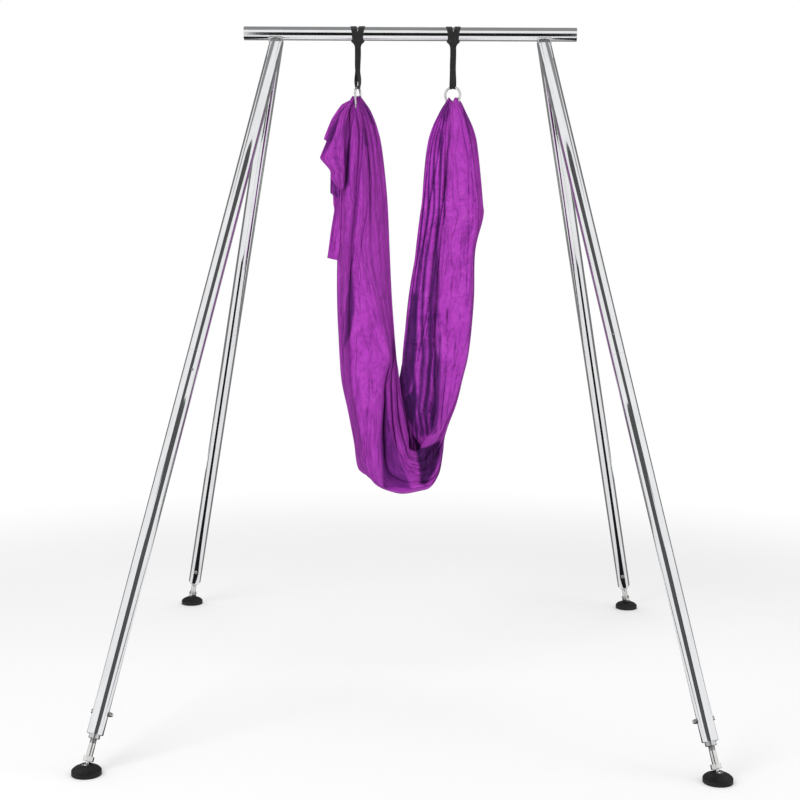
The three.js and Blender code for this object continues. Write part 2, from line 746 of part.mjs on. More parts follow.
function hammock() {
  const depthAxis = new THREE.Vector3(0, 1, 0);
  const ribs = ribShares.map(([ox, oz, ix, iz, depth]) => {
    const outer = ribPoint(ox, oz);
    const inner = ribPoint(ix, iz);
    const centre = outer.clone().add(inner).divideScalar(2);
    const across = inner.clone().sub(outer);
    const half = across.length() / 2;
    return ovalSection(centre, across.normalize(), half, (depth * strandDepth) / 2, depthAxis, pleatShare);
  });
  const left = gatherSections(strapLeftX, ringTurnLeft, true);
  const right = gatherSections(strapRightX, ringTurnRight, false).map((ring) => flipped(ring));
  const bundle = toSolid(loft([...left, ...ribs, ...right.reverse()]));
  const outline = new THREE.Shape(tailShares.map(([x, z]) => {
    const point = ribPoint(x, z);
    return new THREE.Vector2(point.x, point.z);
  }));
  const tail = new THREE.ExtrudeGeometry(outline, { depth: tailThickness, bevelEnabled: false });
  tail.rotateX(Math.PI / 2).translate(0, tailThickness / 2, 0);
  const channels = [[strapLeftX, ringTurnLeft], [strapRightX, ringTurnRight]].map(([x, turn]) => {
    const channel = ringRodAlong(ringRod / 2 + ringPlay).rotateZ(rad(turn));
    return toSolid(channel.translate(x, 0, barAxisZ - strapDrop));
  });
  return cut(join(bundle, toSolid(tail)), ...channels);
}

// On the right the ribs run from outside in, so a gather section starts on its other side
function flipped(ring) {
  const half = ring.length / 2;
  return ring.map((_, k) => ring[(half - k + ring.length) % ring.length]);
}

addBar();
for (const [side, sideX] of [['left', -1], ['right', 1]]) {
  rig.add(piece(`leg_head_${side}`, legHead(sideX), turnedSteel));
}
legs.forEach(addLeg);
addStrap('left', strapLeftX, ringTurnLeft);
addStrap('right', strapRightX, ringTurnRight);
addCarabiner('left', strapLeftX, ringTurnLeft);
addCarabiner('right', strapRightX, ringTurnRight);
rig.add(piece('hammock', hammock(), purpleFabric));

export default rig;
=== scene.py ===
import json
from math import acos, asin, atan2, cos, degrees, hypot, pi, radians, sin, sqrt

import bmesh
import bpy
import numpy as np
from mathutils import Matrix, Vector

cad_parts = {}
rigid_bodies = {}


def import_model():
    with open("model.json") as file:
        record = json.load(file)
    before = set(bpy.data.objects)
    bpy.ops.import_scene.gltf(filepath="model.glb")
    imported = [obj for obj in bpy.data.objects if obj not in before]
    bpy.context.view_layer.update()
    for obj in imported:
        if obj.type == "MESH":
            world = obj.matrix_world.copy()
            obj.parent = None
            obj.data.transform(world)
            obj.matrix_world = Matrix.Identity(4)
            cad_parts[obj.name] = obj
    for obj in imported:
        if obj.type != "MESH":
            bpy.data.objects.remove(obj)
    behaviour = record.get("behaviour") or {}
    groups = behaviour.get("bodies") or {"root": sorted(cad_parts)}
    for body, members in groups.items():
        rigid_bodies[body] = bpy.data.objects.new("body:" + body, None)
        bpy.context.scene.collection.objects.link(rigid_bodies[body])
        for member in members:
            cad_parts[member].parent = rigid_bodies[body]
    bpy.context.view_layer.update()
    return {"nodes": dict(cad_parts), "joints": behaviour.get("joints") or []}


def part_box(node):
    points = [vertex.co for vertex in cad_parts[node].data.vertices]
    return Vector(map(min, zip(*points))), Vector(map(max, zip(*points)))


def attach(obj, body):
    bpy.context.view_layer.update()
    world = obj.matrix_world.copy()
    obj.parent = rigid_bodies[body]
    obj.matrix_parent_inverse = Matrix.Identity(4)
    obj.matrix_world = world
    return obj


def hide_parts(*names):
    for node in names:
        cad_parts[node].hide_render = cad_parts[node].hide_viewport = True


# Aerial rig: a chromed bar on four splayed legs, two webbing straps and a gathered hammock.
# Metres, z up, the bar along x, the photographed side towards -y.
for item in list(bpy.data.objects):
    bpy.data.objects.remove(item)
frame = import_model()
scene = bpy.context.scene
joints = {joint["name"]: joint for joint in frame["joints"]}
mm = 0.001

# Camera as fitted to the photo
cameraAt = {"x": 0.074, "y": -6.775, "z": 2.078, "down": 6.627, "yaw": -0.915, "roll": 0.368}
cameraLens = {"focal": 67.5, "sensor": 36}


def linked(name, data):
    item = bpy.data.objects.new(name, data)
    scene.collection.objects.link(item)
    return item


def addCamera():
    data = bpy.data.cameras.new("camera")
    data.lens = cameraLens["focal"]
    data.sensor_width = cameraLens["sensor"]
    camera = linked("camera", data)
    yaw, down, roll = (radians(cameraAt[key]) for key in ("yaw", "down", "roll"))
    forward = Vector((sin(yaw) * cos(down), cos(yaw) * cos(down), -sin(down)))
    right = Vector((cos(yaw), -sin(yaw), 0))
    up = right.cross(forward)
    right, up = right * cos(roll) + up * sin(roll), up * cos(roll) - right * sin(roll)
    place = Matrix((right, up, -forward)).transposed().to_4x4()
    place.translation = (cameraAt["x"], cameraAt["y"], cameraAt["z"])
    camera.matrix_world = place
    scene.camera = camera


# Shader node helpers
def newMaterial(name):
    material = bpy.data.materials.new(name)
    material.use_nodes = True
    material.node_tree.nodes.clear()
    return material, material.node_tree


def addNode(tree, kind, settings=None, **inputs):
    node = tree.nodes.new(kind)
    for key, value in (settings or {}).items():
        setattr(node, key, value)
    for key, value in inputs.items():
        setInput(tree, node, key.replace("_", " "), value)
    return node


def setInput(tree, node, key, value):
    socket = node.inputs[int(key)] if key.isdigit() else node.inputs[key]
    if isinstance(value, bpy.types.NodeSocket):
        tree.links.new(value, socket)
    else:
        socket.default_value = value


def colour(*screen):
    # red, green and blue as on the screen, 0-255, to linear values
    return tuple(((c / 255 + 0.055) / 1.055) ** 2.4 if c > 10 else c / 3294.6 for c in screen) + (1,)


def darker(tone, share):
    return tuple(c * share for c in tone[:3]) + (1,)


def ramp(tree, factor, stops):
    # a plain number stands for a grey
    node = tree.nodes.new("ShaderNodeValToRGB")
    while len(node.color_ramp.elements) < len(stops):
        node.color_ramp.elements.new(0.5)
    for element, (place, value) in zip(node.color_ramp.elements, stops):
        element.position = place
        element.color = value if hasattr(value, "__len__") else (value, value, value, 1)
    tree.links.new(factor, node.inputs["Fac"])
    return node.outputs["Color"]


def math(tree, operation, first, second=0.0):
    node = tree.nodes.new("ShaderNodeMath")
    node.operation = operation
    setInput(tree, node, "0", first)
    setInput(tree, node, "1", second)
    return node.outputs[0]


def times(tree, first, second):
    return math(tree, "MULTIPLY", first, second)


def plus(tree, first, second, share):
    # first plus second times share
    return math(tree, "ADD", first, times(tree, second, share))


def noise(tree, coordinate, size, detail, roughness):
    return addNode(
        tree, "ShaderNodeTexNoise", Vector=coordinate, Scale=size, Detail=detail, Roughness=roughness,
    ).outputs["Fac"]


# Metres from one band of the wave node to the next at scale 1
bandLength = 0.314


def waves(tree, surface, direction, pitch, distortion, detail=1.0, detailScale=1.0):
    # bands a pitch apart over the surface layout
    return addNode(
        tree, "ShaderNodeTexWave", {"bands_direction": direction}, Vector=surface,
        Scale=bandLength / pitch, Distortion=distortion, Detail=detail, Detail_Scale=detailScale,
    ).outputs["Fac"]


def stretched(tree, coordinate, x, y, z, turn=(0, 0, 0)):
    node = addNode(tree, "ShaderNodeMapping", Vector=coordinate, Scale=(x, y, z), Rotation=turn)
    return node.outputs["Vector"]


def objectPlace(tree):
    return tree.nodes.new("ShaderNodeTexCoord").outputs["Object"]


def surfacePlace(tree):
    # the piece's own layout: metres round it and metres along it
    node = tree.nodes.new("ShaderNodeUVMap")
    node.uv_map = "surface"
    return node.outputs["UV"]


def bump(tree, height, strength, distance):
    node = addNode(tree, "ShaderNodeBump", Height=height, Strength=strength, Distance=distance)
    return node.outputs["Normal"]


def shader(tree, **inputs):
    node = addNode(tree, "ShaderNodeBsdfPrincipled", **inputs)
    output = tree.nodes.new("ShaderNodeOutputMaterial")
    tree.links.new(node.outputs[0], output.inputs["Surface"])
    return node


# Finishes
def metal(name, tone, roughness, streak, grain, along=(260, 6, 1)):
    # fine lines along the piece, faint clouds and a grain
    material, tree = newMaterial(name)
    lines = noise(tree, stretched(tree, surfacePlace(tree), *along), 1.0, 4, 0.6)
    clouds = noise(tree, objectPlace(tree), 9.0, 4, 0.55)
    fine = noise(tree, objectPlace(tree), 900.0, 2, 0.5)
    mixed = plus(tree, times(tree, lines, 0.6), clouds, 0.4)
    shader(
        tree,
        Base_Color=ramp(tree, mixed, [(0.3, darker(tone, 0.86)), (0.62, tone)]),
        Metallic=1.0,
        Roughness=ramp(tree, mixed, [(0.3, roughness + streak), (0.7, roughness)]),
        Normal=bump(tree, plus(tree, lines, fine, grain), 0.12, 0.0002),
    )
    return material


def turnedMetal(name, tone, roughness, pitch):
    # fine lathe rings across the piece's length
    material, tree = newMaterial(name)
    rings = waves(tree, surfacePlace(tree), "Y", pitch, 0.6, 2.0, 3.0)
    clouds = noise(tree, objectPlace(tree), 60.0, 5, 0.6)
    shader(
        tree,
        Base_Color=ramp(tree, clouds, [(0.28, darker(tone, 0.72)), (0.6, tone)]),
        Metallic=1.0,
        Roughness=ramp(tree, clouds, [(0.3, roughness + 0.14), (0.7, roughness)]),
        Normal=bump(tree, rings, 0.25, 0.0001),
    )
    return material


def rubber(name, tone, worn):
    # fine pores, scuffs and settled dust
    material, tree = newMaterial(name)
    place = objectPlace(tree)
    pores = noise(tree, place, 1400.0, 3, 0.6)
    scuffs = noise(tree, stretched(tree, place, 40, 40, 140), 1.0, 5, 0.7)
    dust = noise(tree, place, 22.0, 5, 0.6)
    shader(
        tree,
        Base_Color=ramp(tree, times(tree, scuffs, dust), [(0.16, tone), (0.42, worn)]),
        Roughness=ramp(tree, dust, [(0.3, 0.52), (0.7, 0.78)]),
        Specular_IOR_Level=0.35,
        Normal=bump(tree, plus(tree, pores, scuffs, 0.6), 0.35, 0.0003),
    )
    return material


def webbing(name):
    # herringbone-like weave: yarns across and along the band
    material, tree = newMaterial(name)
    surface = surfacePlace(tree)
    ribs = waves(tree, surface, "X", 1.9 * mm, 0.3)
    yarns = waves(tree, surface, "Y", 1.1 * mm, 0.5)
    weave = times(tree, ribs, math(tree, "ADD", yarns, 0.35))
    fibres = noise(tree, stretched(tree, surface, 900, 260, 1), 1.0, 3, 0.6)
    fade = noise(tree, objectPlace(tree), 30.0, 4, 0.6)
    tone = plus(tree, times(tree, weave, 0.5), fade, 0.5)
    tones = [(0.15, colour(14, 14, 15)), (0.5, colour(34, 34, 36)), (0.9, colour(64, 64, 66))]
    shader(
        tree,
        Base_Color=ramp(tree, tone, tones),
        Roughness=ramp(tree, fibres, [(0.3, 0.62), (0.7, 0.82)]),
        Specular_IOR_Level=0.3,
        Sheen_Weight=0.25,
        Sheen_Roughness=0.4,
        Normal=bump(tree, plus(tree, weave, fibres, 0.3), 0.6, 0.0004),
    )
    return material


def thread(name, tone):
    material, tree = newMaterial(name)
    twist = noise(tree, objectPlace(tree), 2200.0, 2, 0.5)
    shader(
        tree,
        Base_Color=ramp(tree, twist, [(0.3, darker(tone, 0.6)), (0.7, tone)]),
        Roughness=ramp(tree, twist, [(0.3, 0.55), (0.7, 0.8)]),
        Sheen_Weight=0.2,
        Normal=bump(tree, twist, 0.4, 0.0002),
    )
    return material


def crinkle(tree, surface, x, y, turn, detail, roughness, width):
    # 0 on thin wandering lines and 1 beside them
    lines = noise(tree, stretched(tree, surface, x, y, 1, (0, 0, turn)), 1.0, detail, roughness)
    away = math(tree, "ABSOLUTE", math(tree, "SUBTRACT", lines, 0.5))
    return ramp(tree, away, [(0.0, 0), (width, 1)])


def fabric(name):
    # matt stretch knit: fine wales along the cloth, crushed creases, and painted shade darker down in the
    # folds
    material, tree = newMaterial(name)
    surface = surfacePlace(tree)
    wales = waves(tree, surface, "X", 1.6 * mm, 0.8, 2.0, 2.0)
    courses = waves(tree, surface, "Y", 2.2 * mm, 0.8)
    knit = times(tree, wales, math(tree, "ADD", courses, 0.4))
    crinkles = noise(tree, stretched(tree, surface, 120, 42, 1), 1.0, 6, 0.62)
    creases = noise(tree, stretched(tree, surface, 46, 9, 1, (0, 0, 0.2)), 1.0, 5, 0.6)
    crushed = crinkle(tree, surface, 60, 20, -0.3, 4, 0.6, 0.07)
    wrinkle = crinkle(tree, surface, 40, 2.6, 0.5, 3, 0.5, 0.035)
    relief = plus(tree, times(tree, crinkles, 1.4), creases, 1.8)
    relief = plus(tree, plus(tree, relief, crushed, 0.4), wrinkle, 0.8)
    # the colour follows the same relief as the bump, lighter on its raised parts and darker in the creases
    # and along the crushed lines and wrinkles: painted shade
    tone = math(tree, "ADD", plus(tree, times(tree, creases, 0.6), crinkles, 0.4), 0.05)
    for lines, share in ((crushed, 0.06), (wrinkle, 0.1)):
        tone = math(tree, "SUBTRACT", tone, times(tree, math(tree, "SUBTRACT", 1.0, lines), share))
    tones = [(0.2, colour(120, 36, 134)), (0.38, colour(178, 56, 190)), (0.55, colour(198, 68, 208)),
             (0.75, colour(208, 84, 216))]
    # painted shade from the cloth's fold attribute: the colour goes dark and bluish down in the folds
    fold = addNode(tree, "ShaderNodeAttribute", {"attribute_name": "fold"}).outputs["Fac"]
    depth = ramp(tree, fold, [(0.0, (0.13, 0.14, 0.2, 1)), (0.35, (0.45, 0.41, 0.53, 1)), (0.8, 1)])
    mixed = addNode(tree, "ShaderNodeMix", {"data_type": "RGBA", "blend_type": "MULTIPLY"})
    mixed.inputs["Factor"].default_value = 1.0
    tree.links.new(ramp(tree, tone, tones), mixed.inputs[6])
    tree.links.new(depth, mixed.inputs[7])
    shader(
        tree,
        Base_Color=mixed.outputs[2],
        Roughness=ramp(tree, knit, [(0.2, 0.7), (0.9, 0.88)]),
        Specular_IOR_Level=0.25,
        Sheen_Weight=0.12,
        Sheen_Roughness=0.45,
        Sheen_Tint=colour(214, 130, 222),
        Normal=bump(tree, plus(tree, relief, knit, 0.08), 1.0, 0.006),
    )
    return material


polishedTube = metal("polished tube", colour(236, 237, 239), 0.045, 0.05, 0.03)
brightHardware = metal("bright hardware", colour(226, 226, 224), 0.16, 0.10, 0.2, (90, 40, 1))
carabinerSteel = metal("carabiner steel", colour(236, 236, 234), 0.10, 0.08, 0.1, (60, 30, 1))
springSteel = metal("spring steel", colour(196, 198, 202), 0.22, 0.12, 0.3)
turnedSteel = turnedMetal("turned steel", colour(208, 209, 210), 0.2, 0.0006)
weldSteel = turnedMetal("weld bead", colour(206, 205, 203), 0.2, 0.0009)
padRubber = rubber("black rubber", colour(20, 20, 21), colour(44, 44, 46))
plugPlastic = rubber("black end plug", colour(30, 30, 32), colour(66, 66, 68))
blackWebbing = webbing("black webbing")
blackThread = thread("black thread", colour(64, 64, 66))
purpleFabric = fabric("purple knit")
headSteel = metal("welded head steel", colour(214, 214, 214), 0.16, 0.08, 0.2, (60, 60, 10))
print("finishes ready")


# Mesh helpers
def newPiece(name, points, faces, material, layout=None, smooth=35, normals=True):
    # layout gives each face corner its place on the surface, in metres
    mesh = bpy.data.meshes.new(name)
    mesh.from_pydata([tuple(p) for p in points], [], faces)
    if layout is not None:
        layer = mesh.uv_layers.new(name="surface")
        layer.data.foreach_set("uv", np.asarray(layout, dtype=np.float32).ravel())
    mesh.materials.append(material)
    if normals:
        shell = bmesh.new()
        shell.from_mesh(mesh)
        bmesh.ops.remove_doubles(shell, verts=shell.verts, dist=1e-6)
        bmesh.ops.recalc_face_normals(shell, faces=shell.faces)
        shell.to_mesh(mesh)
        shell.free()
    mesh.shade_smooth()
    if smooth:
        mesh.set_sharp_from_angle(angle=radians(smooth))
    return linked(name, mesh)


def gridFaces(rows, columns, closed=False):
    # closed joins the last column to the first
    faces = []
    for i in range(rows - 1):
        for k in range(columns if closed else columns - 1):
            a, b = i * columns + k, i * columns + (k + 1) % columns
            faces.append((a, b, b + columns, a + columns))
    return faces


def rodFaces(rows, sides):
    # a round grid with both its ends closed
    ends = [list(range(sides - 1, -1, -1)), list(range((rows - 1) * sides, rows * sides))]
    return gridFaces(rows, sides, True) + ends


def arc(centreR, centreZ, radius, start, end, steps):
    turns = [radians(start + (end - start) * i / steps) for i in range(steps + 1)]
    return [(centreR + radius * cos(t), centreZ + radius * sin(t)) for t in turns]


def revolved(name, outline, material, sides=96, smooth=30):
    # outline of (radius, height) from axis to axis, or a closed ring where it never meets the axis
    closed = outline[0][0] > 0 or outline[-1][0] > 0
    path = outline + [outline[0]] if closed else outline
    lengths = [0.0]
    for (r0, z0), (r1, z1) in zip(path, path[1:]):
        lengths.append(lengths[-1] + hypot(r1 - r0, z1 - z0))
    points = []
    for r, z in outline:
        points += [(r * cos(2 * pi * k / sides), r * sin(2 * pi * k / sides), z) for k in range(sides)]
    widest = max(r for r, z in outline)
    faces, layout = [], []
    for i in range(len(path) - 1):
        j = (i + 1) % len(outline)
        for k in range(sides):
            n = (k + 1) % sides
            u0 = 2 * pi * widest * k / sides
            u1 = 2 * pi * widest * (k + 1) / sides
            corners = [(i * sides + k, u0, lengths[i]), (i * sides + n, u1, lengths[i]),
                       (j * sides + n, u1, lengths[i + 1]), (j * sides + k, u0, lengths[i + 1])]
            if outline[i][0] == 0:
                corners.pop(1)
            if outline[j][0] == 0:
                corners.pop(-1)
            if len(corners) > 2:
                faces.append([c[0] for c in corners])
                layout += [c[1:] for c in corners]
    return newPiece(name, points, faces, material, layout, smooth)


def placed(piece, matrix):
    piece.data.transform(matrix)
    return piece


def baked(piece):
    # turns what the modifiers give into the piece's own plain mesh
    bpy.context.view_layer.update()
    graph = bpy.context.evaluated_depsgraph_get()
    mesh = bpy.data.meshes.new_from_object(piece.evaluated_get(graph), depsgraph=graph)
    piece.modifiers.clear()
    piece.data = mesh
    return piece


def carved(piece, operation, cutters, sharp=30):
    for cutter in cutters:
        cut = piece.modifiers.new("cut", "BOOLEAN")
        cut.operation = operation
        cut.solver = "EXACT"
        cut.object = cutter
    baked(piece)
    for cutter in cutters:
        bpy.data.objects.remove(cutter)
    piece.data.shade_smooth()
    piece.data.set_sharp_from_angle(angle=radians(sharp))
    return piece


def drilled(piece, *cutters):
    return carved(piece, "DIFFERENCE", cutters)


def finished(piece, body, slot, *nodes):
    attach(piece, body)
    if nodes:
        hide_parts(*nodes)
    return piece


def joined(name, *pieces):
    shell = bmesh.new()
    for piece in pieces:
        shell.from_mesh(piece.data)
    first = pieces[0]
    shell.to_mesh(first.data)
    shell.free()
    for piece in pieces[1:]:
        bpy.data.objects.remove(piece)
    first.name = name
    return first


# Sizes read from the solids: a node's points, how far each lies from the z axis, and what they span
def nodePoints(node, matrix):
    points = np.array([v.co for v in frame["nodes"][node].data.vertices])
    inverse = np.array(matrix.inverted())
    points = points @ inverse[:3, :3].T + inverse[:3, 3]
    return points, np.hypot(points[:, 0], points[:, 1])


def reach(node, matrix):
    points, wide = nodePoints(node, matrix)
    return points[:, 2].min(), points[:, 2].max(), wide.min(), wide.max()


# Bar
barLook = {"endRound": 0.4 * mm, "sides": 160}
barLow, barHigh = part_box("top_bar")
barRadius = (barHigh.z - barLow.z) / 2
barZ = (barHigh.z + barLow.z) / 2
barMatrix = Matrix.Translation((0, 0, barZ)) @ Matrix.Rotation(pi / 2, 4, "Y")


def tubeOutline(outer, inner, low, high, corner):
    # wall of a tube with softly broken end edges; extra rings keep the ends' shading off the long walls
    rings = [corner + mm, corner + 8 * mm]
    lowOut, highOut = [(outer, low + r) for r in rings], [(outer, high - r) for r in reversed(rings)]
    highIn, lowIn = [(inner, high - r) for r in rings], [(inner, low + r) for r in reversed(rings)]
    return (
        arc(outer - corner, low + corner, corner, -90, 0, 4) + lowOut + highOut
        + arc(outer - corner, high - corner, corner, 0, 90, 4)
        + arc(inner + corner, high - corner, corner, 90, 180, 4) + highIn + lowIn
        + arc(inner + corner, low + corner, corner, 180, 270, 4)
    )


def addBar():
    low, high, inner, outer = reach("top_bar", barMatrix)
    outline = tubeOutline(outer, inner, low, high, barLook["endRound"])
    bar = placed(revolved("bar", outline, polishedTube, barLook["sides"]), barMatrix)
    finished(bar, "frame", "polished_tube", "top_bar")
    for side, turn in (("left", -pi / 2), ("right", pi / 2)):
        node = "bar_end_plug_" + side
        lowest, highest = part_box(node)
        face = highest.x if turn > 0 else lowest.x
        matrix = Matrix.Translation((face, 0, barZ)) @ Matrix.Rotation(turn, 4, "Y")
        base, _, _, radius = reach(node, matrix)
        addEndPlug(side, node, matrix, base, radius)


plugLook = {
    "wall": 2.5 * mm, "face": 4 * mm, "dish": 0.6 * mm, "rim": 2.2 * mm, "corner": 1 * mm, "gate": 1.6 * mm,
}


def addEndPlug(side, node, matrix, base, radius):
    look = plugLook
    wall, dish, gate, corner = look["wall"], look["dish"], look["gate"], look["corner"]
    # the sunken face with the moulding gate's mark in the middle, the rim and the cup behind
    outline = [(0, -dish * 0.4), (gate, -dish * 0.4), (gate * 1.3, -dish)]
    outline += [(radius - look["rim"] - dish, -dish), (radius - look["rim"], 0)]
    outline += arc(radius - corner, -corner, corner, 90, 0, 5)
    outline += [(radius, base), (radius - wall, base), (radius - wall, -look["face"]), (0, -look["face"])]
    plug = placed(revolved("bar_plug_" + side, outline, plugPlastic, 96), matrix)
    finished(plug, "frame", "end_plug", node)


# Legs: each has its own frame with z up the tube from the ball of the foot
legNames = ("front_left", "front_right", "rear_left", "rear_right")
bothSides = ("left", "right")


def legMatrix(name):
    up = Vector(joints["stem_screw_" + name]["axis"]).normalized()
    ball = Vector(joints["pad_tilt_" + name]["pos_m"])
    across = (Vector((1, 0, 0)) - up * up.x).normalized()
    matrix = Matrix((across, up.cross(across), up)).transposed().to_4x4()
    matrix.translation = ball
    return matrix


legLook = {
    "endRound": 0.35 * mm, "sides": 144, "hole": 11 * mm, "boltHole": 10.6 * mm, "overrun": 8 * mm,
    "drillSides": 48, "span": 2,
}


def sideways(matrix, height, turn):
    # a frame at a height up the leg, whose z points away from the leg's axis at a turn about it
    aim = Matrix.Rotation(turn, 4, "Z") @ Matrix.Rotation(pi / 2, 4, "Y")
    return matrix @ Matrix.Translation((0, 0, height)) @ aim


def radialDrill(matrix, diameter, height, turn, start, end):
    outline = [(0, start), (diameter / 2, start), (diameter / 2, end), (0, end)]
    drill = revolved("drill", outline, turnedSteel, legLook["drillSides"])
    return placed(drill, sideways(matrix, height, turn))


def aimOf(node, matrix):
    # height and turn about the leg of the farthest point of a node from the leg's axis
    points, wide = nodePoints(node, matrix)
    far = points[wide > wide.max() - 0.5 * mm].mean(axis=0)
    return far[2], atan2(far[1], far[0])


def boltDrill(name, matrix, far):
    return radialDrill(matrix, legLook["boltHole"], *aimOf("cap_nut_" + name, matrix), -far, far)


def buttonDrill(name, matrix, low, high, far):
    # only for the tube that the snap button stands in
    height, turn = aimOf("snap_button_" + name, matrix)
    return [radialDrill(matrix, legLook["hole"], height, turn, 0, far)] if low < height < high else []


def addLowerTube(name, matrix):
    look = legLook
    node = "lower_leg_" + name
    low, high, inner, outer = reach(node, matrix)
    outline = tubeOutline(outer, inner, low, high, look["endRound"])
    tube = placed(revolved("lower_tube_" + name, outline, polishedTube, look["sides"]), matrix)
    far = outer + look["overrun"]
    drills = [boltDrill(name, matrix, far)] + buttonDrill(name, matrix, low, high, far)
    finished(drilled(tube, *drills), "frame", "polished_tube", node)


addCamera()
addBar()
matrices = {name: legMatrix(name) for name in legNames}
for name in legNames:
    addLowerTube(name, matrices[name])
print("bar and legs ready")


# Upper tubes are cut level under the head and upright where front and rear meet
def blockBetween(name, low, high):
    block = bmesh.new()
    bmesh.ops.create_cube(block, size=1)
    size = high - low
    bmesh.ops.scale(block, vec=size, verts=block.verts)
    bmesh.ops.translate(block, vec=(low + high) / 2, verts=block.verts)
    mesh = bpy.data.meshes.new(name)
    block.to_mesh(mesh)
    block.free()
    return linked(name, mesh)


def addUpperTube(name, matrix):
    look = legLook
    node = "upper_leg_" + name
    low, high, inner, outer = reach(node, matrix)
    lowest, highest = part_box(node)
    outline = tubeOutline(outer, inner, low, high + outer, look["endRound"])
    tube = placed(revolved("upper_tube_" + name, outline, polishedTube, look["sides"]), matrix)
    away, span = 4 * outer, look["span"]
    centre = (lowest.x + highest.x) / 2
    front = name.startswith("front")
    seam = highest.y if front else lowest.y
    start, end = (seam, seam + away) if front else (seam - away, seam)
    cutters = [
        blockBetween("above", Vector((-span, -span, highest.z)), Vector((span, span, highest.z + away))),
        blockBetween(
            "beyond", Vector((centre - span / 2, start, highest.z - 5 * away)),
            Vector((centre + span / 2, end, highest.z + away)),
        ),
    ]
    cutters += buttonDrill(name, matrix, low, high, outer + look["overrun"])
    finished(drilled(tube, *cutters), "frame", "polished_tube", node)


for name in legNames:
    addUpperTube(name, matrices[name])


# Feet: plug, cross bolt, cap nut, stem, hexagon, socket and rubber pad
footLook = {
    "bossCorner": 1.2 * mm, "bossHeight": 16.2 * mm, "threadLow": 90 * mm, "threadPitch": 2 * mm,
    "threadDepth": 0.7 * mm, "threadSides": 48, "threadSteps": 8, "neck": 6.5 * mm, "hexChamfer": 2 * mm,
    "boltRecess": 3.4 * mm, "recessDepth": 2.6 * mm, "sides": 96, "small": 64,
}


def addFootPlug(name, matrix):
    look = footLook
    node = "foot_plug_" + name
    points, wide = nodePoints(node, matrix)
    low, high, inner, outer = reach(node, matrix)
    seat = low + look["bossHeight"]
    boss = wide[points[:, 2] < seat - mm].max()
    corner = look["bossCorner"]
    outline = arc(inner + corner, low + corner, corner, 180, 270, 4)
    outline += arc(boss - corner, low + corner, corner, -90, 0, 5)
    outline += [(boss, seat), (outer, seat), (outer, high - corner), (outer - corner, high), (inner, high)]
    plug = placed(revolved("foot_boss_" + name, outline, turnedSteel, look["sides"]), matrix)
    drill = boltDrill(name, matrix, 2 * outer)
    finished(drilled(plug, drill), "frame", "turned_steel", node)


def hexagon(name, flats, low, high, material, twist=0.0):
    # prism whose faces carry a layout in metres
    wide = flats / sqrt(3)
    corners = [(wide * cos(pi / 3 * k + twist), wide * sin(pi / 3 * k + twist)) for k in range(6)]
    points = [(x, y, z) for z in (low, high) for x, y in corners]
    faces = rodFaces(2, 6)
    layout = []
    for k in range(6):
        layout += [(wide * k, low), (wide * (k + 1), low), (wide * (k + 1), high), (wide * k, high)]
    layout += [points[k][:2] for face in faces[6:] for k in face]
    return newPiece(name, points, faces, material, layout)


def machinedHexagon(name, flats, low, high, chamferLow, chamferHigh):
    # keeps what lies inside a turned outline, which leaves the round chamfers of a machined hexagon
    wide = flats / sqrt(3)
    outline = [(0, low), (flats / 2, low), (wide, low + chamferLow), (wide, high - chamferHigh),
               (flats / 2, high), (0, high)]
    body = hexagon(name, flats, low, high, brightHardware, pi / 6)
    return carved(body, "INTERSECT", [revolved("keep", outline, brightHardware, 96)], 28)


def addCrossBolt(name, matrix):
    look = footLook
    own = sideways(matrix, *aimOf("cap_nut_" + name, matrix))
    node = "cross_bolt_" + name
    points, wide = nodePoints(node, own)
    low, high, _, head = reach(node, own)
    shank = wide[points[:, 2] > 0].max()
    seat = points[wide > head - 0.2 * mm][:, 2].max()
    corner, small, tip = (seat - low) * 0.45, 0.3 * mm, 0.6 * mm
    outline = [(0, low)] + arc(head - corner, low + corner, corner, -90, 0, 8) + [(head, seat - small)]
    outline += [(head - small, seat), (shank, seat), (shank, high - tip), (shank - tip, high), (0, high)]
    bolt = placed(revolved("cross_bolt_new_" + name, outline, brightHardware, look["small"]), own)
    key = hexagon("key", 2 * look["boltRecess"], low - mm, low + look["recessDepth"], turnedSteel)
    finished(drilled(bolt, placed(key, own)), "frame", "turned_steel", node)

    node = "cap_nut_" + name
    points, wide = nodePoints(node, own)
    low, high, _, corners = reach(node, own)
    flats = corners * sqrt(3)
    dome, groove = flats / 2 - mm, 0.5 * mm
    hexTop = points[wide > corners - 0.2 * mm][:, 2].max()
    chamfer = 0.45 * (corners - flats / 2) + 0.6 * mm
    hexBody = machinedHexagon("hex", flats, low, hexTop, chamfer, chamfer * 0.8)
    cap = [(0, hexTop - mm), (dome - groove, hexTop - mm), (dome - groove, hexTop + groove)]
    cap += [(dome, hexTop + 2 * groove)] + arc(0, high - dome, dome, 0, 90, 14)[1:-1] + [(0, high)]
    nut = joined("cap_nut_new_" + name, hexBody, revolved("dome", cap, brightHardware, look["small"]))
    finished(placed(nut, own), "frame", "bright_hardware", node)


